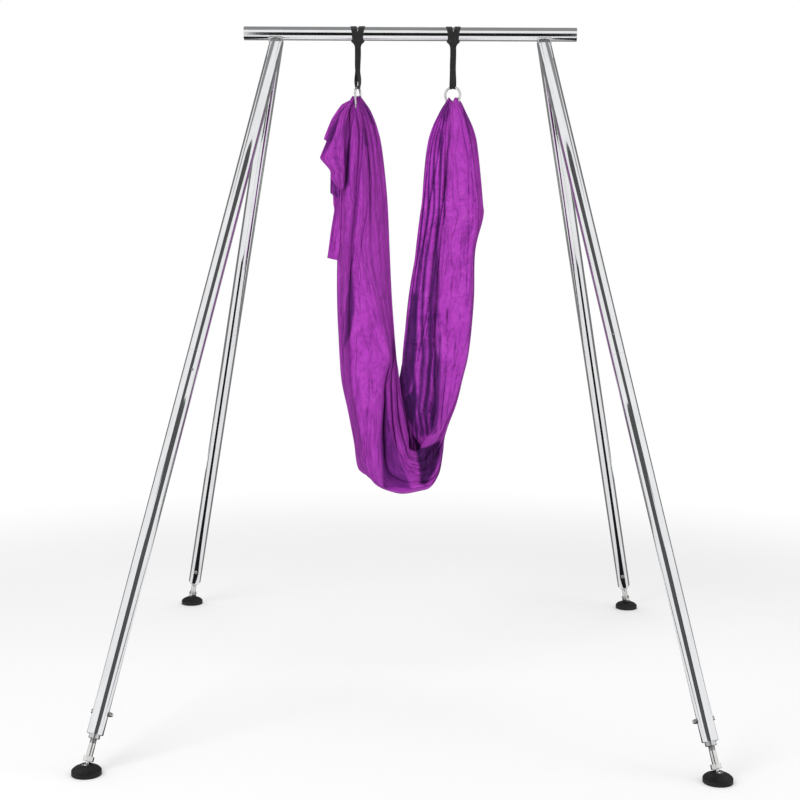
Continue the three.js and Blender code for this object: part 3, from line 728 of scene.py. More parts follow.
def addFootStem(name, matrix):
    look = footLook
    points, wide = nodePoints("foot_stem_" + name, matrix)
    low, high, _, _ = reach("foot_stem_" + name, matrix)
    ball, neck, threadLow = -low, look["neck"], look["threadLow"]
    node = "stem_nut_" + name
    hexLow, hexHigh, bore, widest = reach(node, matrix)
    stem = wide[points[:, 2] > hexHigh].max()
    outline = arc(0, 0, ball, -90, degrees(acos(neck / ball)), 20)
    outline[0] = (0, low)
    outline += [(neck, hexLow), (stem - 0.4 * mm, hexLow), (stem, hexLow + 0.4 * mm)]
    outline += [(stem, threadLow - mm), (stem - look["threadDepth"], threadLow), (0, threadLow)]
    ballStem = revolved("ball_stem", outline, brightHardware, look["sides"])
    thread = threadedRod("thread", stem, threadLow - 0.5 * mm, high, look)
    piece = placed(joined("threaded_stem_" + name, ballStem, thread), matrix)
    finished(piece, "stem_" + name, "bright_hardware", "foot_stem_" + name)

    chamfer = look["hexChamfer"]
    flats = widest * 2 * cos(pi / 6)
    nut = machinedHexagon("stem_hexagon_" + name, flats, hexLow, hexHigh, chamfer, chamfer)
    outline = [(0, hexLow - mm), (bore, hexLow - mm), (bore, hexHigh + mm), (0, hexHigh + mm)]
    drill = revolved("bore", outline, brightHardware, look["sides"])
    finished(placed(drilled(nut, drill), matrix), "stem_" + name, "bright_hardware", node)


def threadedRod(name, radius, low, high, look):
    # rounded V thread: the radius falls and rises once in each pitch along the helix
    sides, pitch = look["threadSides"], look["threadPitch"]
    rows = int((high - low) / pitch * look["threadSteps"])
    points = []
    for i in range(rows + 1):
        z = low + (high - low) * i / rows
        fade = min(1, (z - low) / pitch, (high - z) / pitch + 0.01)
        for k in range(sides):
            turn = 2 * pi * k / sides
            phase = ((z / pitch - turn / (2 * pi)) % 1) * 2 * pi
            r = radius - look["threadDepth"] * (0.5 - 0.5 * cos(phase)) * fade
            if i in (0, rows):
                r -= 0.4 * mm
            points.append((r * cos(turn), r * sin(turn), z))
    faces = rodFaces(rows + 1, sides)
    layout = [(2 * pi * radius * (c % sides) / sides, points[c][2]) for face in faces for c in face]
    return newPiece(name, points, faces, brightHardware, layout, 40)


padLook = {
    "rings": 7, "ringDepth": 1.1 * mm, "ringGap": 1.6 * mm, "base": 46 * mm, "moulding": 0.5 * mm,
    "lip": 1.2 * mm, "play": 0.3 * mm, "crown": [(51.75, 6.5), (46, 11), (38, 14.6), (30, 17.6), (25, 20.4)],
}


def addFootPad(name):
    ball = Matrix.Translation(joints["pad_tilt_" + name]["pos_m"])
    node = "pad_socket_" + name
    low, high, _, outer = reach(node, ball)
    points, _ = nodePoints(node, ball)
    cavity = np.linalg.norm(points, axis=1).min()
    mouth = degrees(asin(high / cavity)) if high < cavity else 25
    corner = 0.8 * mm
    outline = [(0, low), (outer - corner, low), (outer, low + corner), (outer, high - corner)]
    outline += [(outer - corner, high)] + arc(0, 0, cavity, mouth, -90, 24)[:-1] + [(0, -cavity)]
    socket = placed(revolved("ball_socket_" + name, outline, turnedSteel, 96), ball)
    finished(socket, "pad_" + name, "turned_steel", node)

    look = padLook
    node = "foot_pad_" + name
    points, wide = nodePoints(node, ball)
    base, top, _, radius = reach(node, ball)
    rim = points[wide > radius - 0.2 * mm][:, 2].max()
    pocket, floor = outer + look["play"], low - look["play"]
    # moulded shape: ringed sole, upright rim with a parting line, then a crowned shoulder up to the lip
    half, line = (base + rim) / 2, look["moulding"]
    gap, groove = look["ringGap"], base + look["ringDepth"]
    outline = [(0, base)]
    for k in range(look["rings"]):
        r = look["base"] * (k + 1) / look["rings"]
        outline += [(r - gap, base), (r - gap * 0.7, groove), (r, groove), (r + gap * 0.3, base)]
    outline += arc(radius - 2 * mm, base + 2 * mm, 2 * mm, -90, 0, 6)
    outline += [(radius - line, half - line), (radius - line * 0.4, half), (radius - line, half + line)]
    outline += [(radius, rim - 1.5 * mm)]
    shoulder = [(radius - 0.6 * mm, rim + mm)] + [(r * mm, rim + z * mm) for r, z in look["crown"]]
    outline += smoothOutline(shoulder + [(pocket + 2.5 * mm, top - look["lip"])], 5)
    outline += [(pocket + 1.6 * mm, top), (pocket + 0.5 * mm, top), (pocket, top - 0.6 * mm), (pocket, floor)]
    outline += [(0, floor)]
    pad = placed(revolved("rubber_pad_" + name, outline, padRubber, 128, 24), ball)
    finished(pad, "pad_" + name, "rubber_pad", node)


def between(a, b, c, d, t):
    # smooth curve from b to c, on its way from a to d
    bend = 2 * a - 5 * b + 4 * c - d
    return 0.5 * (2 * b + (c - a) * t + bend * t * t + (3 * b - a - 3 * c + d) * t ** 3)


def smoothOutline(points, steps):
    # rounded curve through given points
    found = []
    path = [points[0]] + points + [points[-1]]
    for around in zip(path, path[1:], path[2:], path[3:]):
        for s in range(steps):
            found.append(tuple(between(*values, s / steps) for values in zip(*around)))
    return found + [points[-1]]


buttonLook = {"leafCorner": 0.25 * mm}


def addSnapButton(name, matrix):
    node = "snap_button_" + name
    height, turn = aimOf(node, matrix)
    own = matrix @ Matrix.Rotation(turn, 4, "Z")
    points, _ = nodePoints(node, own)
    tip = points[:, 0].max()
    leaf = points[np.abs(points[:, 1]) > np.abs(points[:, 1]).max() - 0.01 * mm]
    inner, face = leaf[:, 0].min(), leaf[:, 0].max()
    half, low, high = leaf[:, 1].max(), leaf[:, 2].min(), leaf[:, 2].max()
    # spring leaf with broken edges
    strip = blockBetween("leaf", Vector((inner, -half, low)), Vector((face, half, high)))
    strip.data.materials.append(springSteel)
    strip.data.uv_layers.new(name="surface")
    soft = strip.modifiers.new("edges", "BEVEL")
    soft.width = buttonLook["leafCorner"]
    soft.segments = 3
    baked(strip)
    pinPoints = points[points[:, 0] > face + mm]
    radius = np.abs(pinPoints[:, 1]).max()
    outline = [(0, inner), (radius, inner)] + arc(0, tip - radius, radius, 0, 90, 12)[:-1] + [(0, tip)]
    pin = revolved("pin", outline, springSteel, 48)
    placed(pin, Matrix.Translation((0, 0, height)) @ Matrix.Rotation(pi / 2, 4, "Y"))
    piece = placed(joined("spring_button_" + name, strip, pin), own)
    finished(piece, "button_" + name, "spring_steel", node)


for name in legNames:
    addFootPlug(name, matrices[name])
    addCrossBolt(name, matrices[name])
    addFootStem(name, matrices[name])
    addFootPad(name)
    addSnapButton(name, matrices[name])
print("feet and snap buttons ready")


# Beads that follow a path: weld ripples and stitches
beadLook = {"Spacing": 3 * mm, "Long": 3 * mm, "Wide": 2 * mm, "Tall": 1 * mm, "Uneven": 0.1}


def beadTree(name, material, rows, sides):
    tree = bpy.data.node_groups.new(name, "GeometryNodeTree")
    tree.is_modifier = True
    sockets = tree.interface
    sockets.new_socket("Geometry", in_out="INPUT", socket_type="NodeSocketGeometry")
    for label, value in beadLook.items():
        socket = sockets.new_socket(label, in_out="INPUT", socket_type="NodeSocketFloat")
        socket.default_value = value
    sockets.new_socket("Geometry", in_out="OUTPUT", socket_type="NodeSocketGeometry")
    source = tree.nodes.new("NodeGroupInput").outputs
    result = tree.nodes.new("NodeGroupOutput")
    curve = addNode(tree, "GeometryNodeMeshToCurve", Mesh=source["Geometry"])
    along = addNode(
        tree, "GeometryNodeCurveToPoints", {"mode": "LENGTH"}, Curve=curve.outputs["Curve"],
        Length=source["Spacing"],
    )
    bead = addNode(tree, "GeometryNodeMeshUVSphere", Segments=sides, Rings=rows, Radius=0.5)
    size = addNode(tree, "ShaderNodeCombineXYZ", X=source["Wide"], Y=source["Tall"], Z=source["Long"])
    vary = addNode(tree, "FunctionNodeRandomValue", {"data_type": "FLOAT"}, Seed=7)
    vary.inputs[2].default_value = -1
    vary.inputs[3].default_value = 1
    change = math(tree, "ADD", times(tree, vary.outputs[1], source["Uneven"]), 1.0)
    size = addNode(tree, "ShaderNodeVectorMath", {"operation": "SCALE"}, Vector=size.outputs[0], Scale=change)
    spread = addNode(
        tree, "GeometryNodeInstanceOnPoints", Points=along.outputs["Points"], Instance=bead.outputs["Mesh"],
        Rotation=along.outputs["Rotation"], Scale=size.outputs[0],
    )
    solid = addNode(tree, "GeometryNodeRealizeInstances", Geometry=spread.outputs["Instances"])
    smooth = addNode(tree, "GeometryNodeSetShadeSmooth", Geometry=solid.outputs["Geometry"])
    paint = addNode(tree, "GeometryNodeSetMaterial", Geometry=smooth.outputs[0], Material=material)
    tree.links.new(paint.outputs[0], result.inputs[0])
    return tree


def beads(name, tree, runs, **sizes):
    # runs are lists of points; each run becomes one row of beads
    points, edges = [], []
    for run in runs:
        start = len(points)
        points += [tuple(p) for p in run]
        edges += [(k, k + 1) for k in range(start, len(points) - 1)]
    mesh = bpy.data.meshes.new(name)
    mesh.from_pydata(points, edges, [])
    piece = linked(name, mesh)
    modifier = piece.modifiers.new("beads", "NODES")
    modifier.node_group = tree
    names = {item.name: item.identifier for item in tree.interface.items_tree if item.in_out == "INPUT"}
    for label, value in sizes.items():
        modifier[names[label]] = value
    return baked(piece)


weldTree = beadTree("weld ripples", weldSteel, 8, 12)
stitchTree = beadTree("strap stitches", blackThread, 6, 8)
print("bead trees ready")


# Welds round the bar's heads
weldLook = {
    "spacing": 1.2 * mm, "long": 2.8 * mm, "wide": 3.2 * mm, "tall": 1.5 * mm, "corner": 6 * mm,
    "neck": 12 * mm, "step": 0.8 * mm, "sink": 0.6 * mm,
}


def roundedRectangle(halfX, halfY, corner, steps=8):
    points = []
    for cx, cy, start in ((1, 1, 0), (-1, 1, 90), (-1, -1, 180), (1, -1, 270)):
        points += arc(cx * (halfX - corner), cy * (halfY - corner), corner, start, start + 90, steps)
    return points


def dense(points, step, closed=True):
    found = []
    path = points + [points[0]] if closed else points
    for a, b in zip(path, path[1:]):
        a, b = Vector(a), Vector(b)
        count = max(1, int((b - a).length / step))
        found += [a.lerp(b, k / count) for k in range(count)]
    return found + [Vector(path[-1])]


def dressed(node, material):
    # a solid of the frame that stays as it is, in its own finish
    materials = frame["nodes"][node].data.materials
    materials.clear()
    materials.append(material)


def addHead(side):
    look = weldLook
    node = "leg_head_" + side
    points, _ = nodePoints(node, Matrix())
    neck = points[np.abs(points[:, 2] - points[:, 2].max()) < look["neck"]]
    left, right, halfY = neck[:, 0].min(), neck[:, 0].max(), np.abs(neck[:, 1]).max()
    outline = roundedRectangle((right - left) / 2, halfY, min(look["corner"], halfY * 0.9))
    radius, centreX = barRadius + 0.5 * mm, (right + left) / 2
    run = []
    for p in dense([(x, y, 0) for x, y in outline], look["step"]):
        run.append((centreX + p.x, p.y, barZ - sqrt(max(radius ** 2 - p.y ** 2, 0)) - look["sink"]))
    weld = beads(
        "head_weld_" + side, weldTree, [run],
        Spacing=look["spacing"], Long=look["long"], Wide=look["wide"], Tall=look["tall"], Uneven=0.12,
    )
    finished(weld, "frame", "turned_steel")
    dressed(node, headSteel)


for side in bothSides:
    addHead(side)
for name in legNames:
    dressed("leg_sleeve_" + name, headSteel)
print("heads welded")


# Rings: each one's matrix has its origin at the middle of the top rod
ringLook = {
    "drop": 230 * mm, "rod": 5 * mm, "topRadius": 34 * mm, "lowRadius": 24 * mm, "centres": 44 * mm,
    "turns": {"left": 73, "right": -17}, "end": 2 * mm, "gateRod": 4.2 * mm, "pin": 1.5 * mm, "sides": 40,
    "tip": [(0, 5), (0.5, 4.4), (0.5, 3.8), (0, 3.2), (0, 0.6), (0.6, 0)],
}
strapX = {side: sum(corner.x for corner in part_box("strap_" + side)) / 2 for side in bothSides}


def ringMatrix(side):
    turn = Matrix.Rotation(radians(ringLook["turns"][side]), 4, "Z")
    return Matrix.Translation((strapX[side], 0, barZ - ringLook["drop"])) @ turn


def ringPath():
    # the rod's middle line from the nose that the gate closes on, round to the gate's heel
    look = ringLook
    lean = degrees(asin((look["topRadius"] - look["lowRadius"]) / look["centres"]))
    top = arc(0, -look["topRadius"], look["topRadius"], 180 + lean, -lean, 56)
    low = arc(0, -look["topRadius"] - look["centres"], look["lowRadius"], -lean, lean - 180, 44)
    top, low = ([Vector((x, 0, z)) for x, z in run] for run in (top, low))
    along = (top[0] - low[-1]).normalized()
    nose, heel = top[0] - along * look["end"], low[-1] + along * look["end"]
    side = [top[-1].lerp(low[0], k / 8) for k in range(1, 8)]
    return [nose] + top + side + low + [heel], nose, heel, along


def sweptRod(name, path, radii, material, sides):
    # rod along a path in its own XZ plane, rounded where the radii shrink at its ends
    points, lengths = [], [0.0]
    through = Vector((0, 1, 0))
    for i, p in enumerate(path):
        out = (path[min(i + 1, len(path) - 1)] - path[max(i - 1, 0)]).normalized().cross(through)
        if i:
            lengths.append(lengths[-1] + (p - path[i - 1]).length)
        for k in range(sides):
            turn = 2 * pi * k / sides
            points.append(p + (out * cos(turn) + through * sin(turn)) * radii[i])
    faces = rodFaces(len(path), sides)
    girth = 2 * pi * max(radii)
    layout = [(girth * (c % sides) / sides, lengths[c // sides]) for face in faces for c in face]
    return newPiece(name, points, faces, material, layout, 40)


def endRounded(path, radius, corner, steps=4):
    # adds the few sections that round off both ends of a rod
    turns = [radians(90 * k / steps) for k in range(steps)]
    first, last = (path[1] - path[0]).normalized(), (path[-1] - path[-2]).normalized()
    start = [path[0] + first * corner * (1 - cos(turn)) for turn in turns]
    stop = [path[-1] - last * corner * (1 - cos(turn)) for turn in reversed(turns)]
    radii = [radius - corner * (1 - sin(turn)) for turn in turns]
    middle = path[1:-1]
    return start + middle + stop, radii + [radius] * len(middle) + radii[::-1]


def addRing(side):
    look = ringLook
    own = ringMatrix(side)
    path, nose, heel, along = ringPath()
    path, radii = endRounded(path, look["rod"], 0.8 * mm)
    ring = placed(sweptRod("ring_" + side, path, radii, carabinerSteel, look["sides"]), own)
    finished(ring, "sling", "carabiner_steel", "carabiner_" + side)

    # gate: rolled rod with a round hinge end, a turned-down tip and the rivet it turns on
    radius, pin = look["gateRod"], look["pin"]
    pivot = heel + along * (radius + 0.3 * mm)
    length = (nose - pivot).length - 0.5 * mm
    outline = [(0, -radius)] + arc(0, 0, radius, -90, 0, 14)[1:]
    for inset, back in look["tip"]:
        outline.append((radius - inset * mm, length - back * mm))
    gate = revolved("gate", outline + [(0, length)], carabinerSteel, 48)
    rivet = [(0, -radius - 0.7 * mm), (pin * 0.8, -radius - 0.7 * mm), (pin, -radius - 0.2 * mm)]
    rivet += [(r, -z) for r, z in reversed(rivet)]
    rivet = placed(revolved("rivet", rivet, brightHardware, 32), Matrix.Rotation(pi / 2, 4, "X"))
    whole = joined("ring_gate_" + side, gate, rivet)
    placed(whole, own @ Matrix.Translation(pivot) @ Matrix.Rotation(atan2(along.x, along.z), 4, "Y"))
    finished(whole, "gate_" + side, "carabiner_steel", "carabiner_gate_" + side)


for side in bothSides:
    addRing(side)
print("rings ready")


# Straps: webbing hitched round the bar, doubled below it and sewn round the ring
strapLook = {
    "width": 27 * mm, "thick": 3 * mm, "play": 0.3 * mm, "spreadTop": 38 * mm, "spreadLow": 17 * mm,
    "wrapStart": -65, "wrapEnd": 245, "wave": 0.25 * mm, "over": 0.35 * mm,
    "bandStart": 250, "bandEnd": 168, "bandTop": 54 * mm, "bandLow": 46 * mm,
    "knot": 60 * mm, "drop": 230 * mm, "part": 68 * mm, "bow": 4.5 * mm, "tailWave": 0.5 * mm,
    "stitch": 3.2 * mm, "stitchGap": 3.9 * mm, "boxTop": -98 * mm, "boxLow": -156 * mm, "boxInset": 3.4 * mm,
    "bar": 4 * mm,
}


def ribbon(name, stations, material, across=9, corner=4):
    # a station is its centre, the way across, the way through, width, thickness and length along
    level, bend = [k / (across - 1) for k in range(across)], [k / corner for k in range(1, corner)]
    section = [(-0.5 + t, -0.5, 0) for t in level] + [(0.5, -0.5 + t, sin(pi * t)) for t in bend]
    section += [(0.5 - t, 0.5, 0) for t in level] + [(-0.5, 0.5 - t, sin(pi * t)) for t in bend]
    size, rows = len(section), len(stations)
    points, layout = [], []
    for centre, sideways, through, width, thick, _ in stations:
        for a, b, swell in section:
            edge = 0.35 * thick * swell * (1 if a > 0 else -1)
            points.append(centre + sideways * ((width - 0.7 * thick) * a + edge) + through * (thick * b))
    faces = rodFaces(rows, size)
    for face in faces:
        for c in face:
            a, b, _ = section[c % size]
            width, thick, along = stations[c // size][3:]
            if len(face) > 4:
                layout.append((width * a, thick * b))
            else:
                layout.append((width * a + (mm if b > 0 else 0), along))
    return newPiece(name, points, faces, material, layout, 50)


def strapWrap(shift, sign):
    # one turn of the webbing round the bar
    look = strapLook
    steps = 96
    start, end = radians(look["wrapStart"]), radians(look["wrapEnd"])
    stations = []
    for k in range(steps + 1):
        share = k / steps
        turn = start + (end - start) * share
        rise = sin(pi * share) ** 2
        x = sign * (look["spreadLow"] + (look["spreadTop"] - look["spreadLow"]) * rise) / 2
        wave = look["wave"] * sin(9 * share + shift)
        r = barRadius + look["play"] + look["thick"] / 2 + (look["over"] if sign > 0 else 0) + wave * 0.3
        out = Vector((0, cos(turn), sin(turn)))
        centre = Vector((x + wave, 0, 0)) + out * r
        stations.append((centre, Vector((1, 0, 0)), out, look["width"], look["thick"], r * (turn - start)))
    return ribbon("wrap", stations, blackWebbing)


def strapBand():
    # the loop that crosses the two wraps in front; its weave runs sideways
    look = strapLook
    steps, columns = 40, 25
    rows, half = steps + 1, look["thick"] / 2
    shares = [-1 + 2 * k / steps for k in range(rows)]
    inner, outer, layout = [], [], []
    for share in shares:
        for j in range(columns):
            t = j / (columns - 1)
            turn = radians(look["bandStart"] + (look["bandEnd"] - look["bandStart"]) * t)
            width = look["bandLow"] + (look["bandTop"] - look["bandLow"]) * t
            curl = max(0, abs(share) - 0.72) / 0.28
            swell = 0.9 * mm * cos(share * 4.2) * sin(pi * t) - 2.6 * mm * curl ** 2
            edge = 1 - 0.45 * (abs(2 * t - 1) ** 8)
            base = barRadius + look["play"] + look["thick"] + 0.5 * mm + swell
            x = share * width / 2 * (1 - 0.05 * abs(2 * t - 1) ** 3)
            out = Vector((0, cos(turn), sin(turn)))
            middle = Vector((x, 0, 0)) + out * (base + half)
            inner.append(middle - out * half * edge)
            outer.append(middle + out * half * edge)
    count = rows * columns
    faces = gridFaces(rows, columns)
    faces += [[c + count for c in reversed(face)] for face in faces]
    border = list(range(columns)) + [i * columns + columns - 1 for i in range(1, rows)]
    border += [count - 1 - k for k in range(1, columns)] + [i * columns for i in range(rows - 2, 0, -1)]
    faces += [[a, a + count, b + count, b] for a, b in zip(border, border[1:] + border[:1])]
    for face in faces:
        for c in face:
            i, j = divmod(c % count, columns)
            layout.append((j / (columns - 1) * 0.05, shares[i] * look["bandTop"] / 2))
    return newPiece("band", outer + inner, faces, blackWebbing, layout, 50)


def strapKnot():
    # the legs of the loop draw together under the bar: folded webbing with creases down its sides
    look = strapLook
    depth = 2 * (barRadius + look["play"] + look["thick"])
    # height in bar radii, width in millimetres and depth as a share of the wraps' depth
    keys = [(-0.70, 46, 0.80), (-0.80, 46, 0.74), (-0.92, 48, 0.62), (-1.02, 57, 0.53), (-1.12, 60, 0.45),
            (-1.24, 54, 0.36), (-1.38, 43, 0.28), (-1.60, 33, 0.18), (-1.85, 28, 0.12), (-2.10, 27, 0.105)]
    zs, widths, depths = zip(*keys)
    rows, sides, square = 56, 72, 0.42
    points = []
    for i in range(rows + 1):
        at = zs[0] + (zs[-1] - zs[0]) * i / rows
        halfWidth = np.interp(-at, [-z for z in zs], widths) * mm / 2
        halfDepth = np.interp(-at, [-z for z in zs], depths) * depth / 2
        fade = min(1, (i / rows) * 6, (1 - i / rows) * 4 + 0.05)
        for k in range(sides):
            c, s = cos(2 * pi * k / sides), sin(2 * pi * k / sides)
            a = abs(c) ** square * (1 if c > 0 else -1)
            b = abs(s) ** square * (1 if s > 0 else -1)
            fold = 1 - 0.05 * fade * (0.5 + 0.5 * cos(b * 9.5 + 0.6)) * abs(c)
            lap = 1 - 0.06 * fade * (0.5 + 0.5 * cos(a * 7.5 + at * 2.2)) * abs(s)
            points.append((halfWidth * a * fold, halfDepth * b * lap, at * barRadius))
    faces = rodFaces(rows + 1, sides)
    layout = [(points[c][0], points[c][2] + points[c][1]) for face in faces for c in face]
    return newPiece("knot", points, faces, blackWebbing, layout, 60)


def tailPlace(turn, z, x, y):
    # a point of the hanging webbing, which waves a little and twists from the bar down to the ring
    look = strapLook
    top = -barRadius - look["knot"] / 2
    share = min(1, max(0, (top - z) / (look["drop"] + top)))
    spin = Matrix.Rotation(radians(turn) * share, 4, "Z")
    return spin, spin @ Vector((x + look["tailWave"] * sin(z * 55), y, z))


def strapTail(turn):
    # one length of webbing: down in front, round the ring's rod and up behind
    look = strapLook
    top, half = -barRadius - look["knot"] / 2, look["thick"] / 2
    wide = ringLook["rod"] + 0.3 * mm + half
    partAt = -look["drop"] + look["part"]
    track = []
    steps = 46
    for k in range(steps + 1):
        z = top + (-look["drop"] - top) * k / steps
        parted = max(0, (partAt - z) / look["part"])
        bow = look["bow"] * sin(pi * min(1, parted))
        parted = parted * parted * (3 - 2 * parted)
        track.append((-(half + (wide - half) * parted + bow), z))
    under = [(wide * -cos(t), -look["drop"] - wide * sin(t)) for t in [pi * k / 16 for k in range(1, 16)]]
    track = track + under + [(-y, z) for y, z in reversed(track)]
    stations = []
    length = 0.0
    for k, (y, z) in enumerate(track):
        before, after = track[max(k - 1, 0)], track[min(k + 1, len(track) - 1)]
        dy, dz = after[0] - before[0], after[1] - before[1]
        size = hypot(dy, dz)
        if k:
            length += hypot(y - before[0], z - before[1])
        spin, centre = tailPlace(turn, z, 0, y)
        through = spin @ Vector((0, -dz / size, dy / size))
        stations.append((centre, spin @ Vector((1, 0, 0)), through, look["width"], look["thick"], length))
    tail = ribbon("tail", stations, blackWebbing, 13)
    # the loop's foot follows the bend of the ring's rod
    axis = Matrix.Rotation(radians(turn), 4, "Z") @ Vector((1, 0, 0))
    radius = ringLook["topRadius"]
    for v in tail.data.vertices:
        share = min(1, max(0, (partAt + 8 * mm - v.co.z) / 22 / mm))
        along = v.co.dot(axis)
        v.co.z -= share * (radius - sqrt(radius ** 2 - min(along ** 2, radius ** 2)))
    return tail


def strapStitches(turn):
    # a box of stitches on both faces of the webbing, with a doubled row at its top and foot
    look = strapLook
    half, high, low, bar = look["width"] / 2 - look["boxInset"], look["boxTop"], look["boxLow"], look["bar"]
    lines = [((x, high), (x, low)) for x in (-half, half)]
    lines += [((-half, z), (half, z)) for z in (high, low, high - bar, low + bar)]
    runs = []
    for face in (-1, 1):
        for (ax, az), (bx, bz) in lines:
            path = dense([(ax, 0, az), (bx, 0, bz)], 4 * mm, False)
            runs.append([tailPlace(turn, p.z, p.x, face * (look["thick"] + 0.05 * mm))[1] for p in path])
    return beads(
        "stitches", stitchTree, runs,
        Spacing=look["stitchGap"], Long=look["stitch"], Wide=1.0 * mm, Tall=1.0 * mm, Uneven=0.08,
    )


def addStrap(side):
    turn = ringLook["turns"][side]
    place = Matrix.Translation((strapX[side], 0, barZ))
    parts = [strapWrap(0.4, -1), strapWrap(1.7, 1), strapBand(), strapKnot(), strapTail(turn)]
    strap = placed(joined("webbing_strap_" + side, *parts), place)
    finished(strap, "sling", "webbing", "strap_" + side)
    stitches = placed(strapStitches(turn), place)
    stitches.name = "strap_stitches_" + side
    finished(stitches, "sling", "webbing")


for side in bothSides:
    addStrap(side)
print("straps ready")


# Hammock: one cloth gathered over both rings. Ribs across the cloth run from the left ring to the right
# one; each is outer x, outer z, inner x, inner z and half its depth, in millimetres.
clothRibs = [
    (-256, 2650, -216, 2650, 7), (-274, 2620, -192, 2620, 23), (-286, 2580, -166, 2580, 36),
    (-292, 2500, -136, 2500, 44), (-300, 2400, -116, 2400, 45), (-322, 2190, -94, 2190, 45),
    (-322, 1967, -84, 1967, 45), (-321, 1743, -73, 1743, 46), (-312, 1517, -54, 1500, 50),
    (-300, 1380, -44, 1430, 54), (-270, 1240, -34, 1358, 60), (-243, 1100, -26, 1290, 66),
    (-222, 975, -13, 1222, 70), (-169, 905, 0, 1165, 74), (-100, 876, 8, 1132, 76),
    (-25, 858, 11, 1122, 76), (50, 870, 4, 1122, 76), (110, 890, -9, 1155, 74), (148, 956, -22, 1208, 70),
    (168, 1050, -33, 1281, 66), (180, 1150, -36, 1358, 62), (222, 1270, -27, 1425, 58),
    (250, 1390, -18, 1470, 52), (277, 1517, -12, 1540, 48), (296, 1743, 8, 1743, 46),
    (300, 1967, 38, 1967, 45), (334, 2120, 56, 2120, 45), (331, 2190, 63, 2190, 45),
    (307, 2412, 79, 2412, 45), (288, 2500, 98, 2500, 44), (252, 2580, 134, 2580, 36),
    (234, 2618, 156, 2618, 23), (216, 2646, 172, 2646, 7),
]
# Twenty folds across a rib, keyed by rib: from outer -100 to inner 100, then from front -100 to back 100
clothBack = [(-75, 70), (0, 100), (70, 70), (90, 20), (60, -20)]
clothTurn = [(-95, -35), (-98, -20), (-100, -5), (-100, 5), (-98, 15), (-95, 25), (-90, 38), (-84, 50),
        (-75, 60), (-65, 70), (-50, 80), (-30, 90), (5, 100), (45, 95)]
clothFolds = {
    3: [(50, 15), (95, -10), (88, -50), (74, -50), (66, -78), (50, -50), (40, -85), (28, -62), (18, -92),
        (5, -95), (-10, -50), (-30, -100), (-62, -45), (-80, -70), (-100, 0)] + clothBack,
    5: [(60, 15), (97, -10), (90, -50), (80, -68), (68, -85), (55, -80), (42, -90), (32, -50), (20, -92),
        (0, -100), (-26, -50), (-42, -100), (-68, -70), (-85, -60), (-100, 0)] + clothBack,
    6: [(60, 10), (98, -5), (92, -42), (84, -60), (75, -75), (62, -84), (45, -92), (28, -90), (10, -100),
        (-15, -98), (-45, -50), (-58, -90), (-74, -72), (-88, -55), (-100, 0)] + clothBack,
    8: [(70, 0), (100, -15), (97, -40), (95, -50), (93, -62), (92, -68), (90, -74), (86, -72), (74, -88),
        (10, -100), (-62, -45), (-72, -80), (-82, -62), (-92, -45), (-100, 5), (-70, 75), (0, 100),
        (70, 80), (95, 40), (80, 10)],
    10: [(75, -5), (100, -30), (95, -62), (86, -35), (76, -85), (66, -40), (55, -92), (42, -30), (30, -95),
        (-20, -100), (-72, -82), (-80, -75), (-87, -60), (-94, -40), (-100, 5), (-70, 75), (0, 100),
        (50, 90), (75, 55), (60, 20)],
    12: [(82, -30), (100, -55), (90, -80), (78, -30), (66, -90), (54, -35), (40, -92), (10, 10), (-8, -92),
        (-50, -98), (-75, -80), (-82, -70), (-90, -50), (-96, -30), (-100, 10), (-70, 78), (-5, 100),
        (50, 95), (80, 50), (50, 30)],
    14: [(84, -30), (100, -60), (86, -90), (70, -68), (54, -92), (32, -72), (5, -95), (-45, -20),
        (-86, -55), (-97, -10), (-100, 5), (-95, 30), (-85, 50), (-70, 70), (-50, 85), (-20, 95),
        (25, 100), (95, 60), (60, 30), (10, 20)],
    16: [(46, -35), (62, -75), (50, -98), (30, -72), (10, -78), (-10, -66), (-36, -80), (-58, -60),
        (-80, -80), (-95, -30), (-100, 5), (-95, 30), (-82, 55), (-62, 75), (-35, 90), (0, 100), (50, 95),
        (100, 55), (40, 15), (-40, 15)],
    18: [(-16, -30), (2, -80), (-12, -99), (-30, -66), (-44, -78), (-58, -58), (-74, -82), (-88, -40),
        (-96, -35), (-100, 0), (-98, 20), (-90, 42), (-78, 62), (-58, 80), (-30, 92), (10, 100), (60, 90),
        (100, 50), (45, 10), (-70, 10)],
    20: [(-66, -40), (-52, -85), (-70, -98), (-86, -45), (-93, -50), (-97, -10), (-100, 0), (-98, 10),
        (-96, 20), (-92, 32), (-86, 45), (-80, 55), (-70, 65), (-60, 75), (-42, 85), (-10, 95), (35, 100),
        (100, 60), (82, 5), (-72, 0)],
    22: [(-26, -50), (-12, -85), (-50, -100)] + clothTurn + [(85, 72), (100, 0), (-24, -10)],
    24: [(2, -45), (20, -88), (-30, -100)] + clothTurn + [(92, 50), (100, -30), (0, -38)],
    27: [(8, -50), (26, -90), (-25, -100), (-85, -55)] + clothTurn[1:] + [(92, 40), (98, -42), (2, -45)],
    29: [(12, -50), (28, -90), (-20, -100), (-78, -62)] + clothTurn[1:] + [(90, 40), (94, -50), (5, -45)],
}
clothLook = {
    "columns": [6, 14, 24, 20, 12, 12, 12, 12, 32, 32, 10, 10, 9, 9, 9, 16, 16, 12, 44],
    "rows": 318, "valleys": (3, 5, 7, 10, 12), "flatWidth": 0.72, "flatLength": 3.95, "seed": 11,
    "front": -0.05, "notch": 0.19, "rowGap": 30 * mm, "ringBlend": 3.6,
}
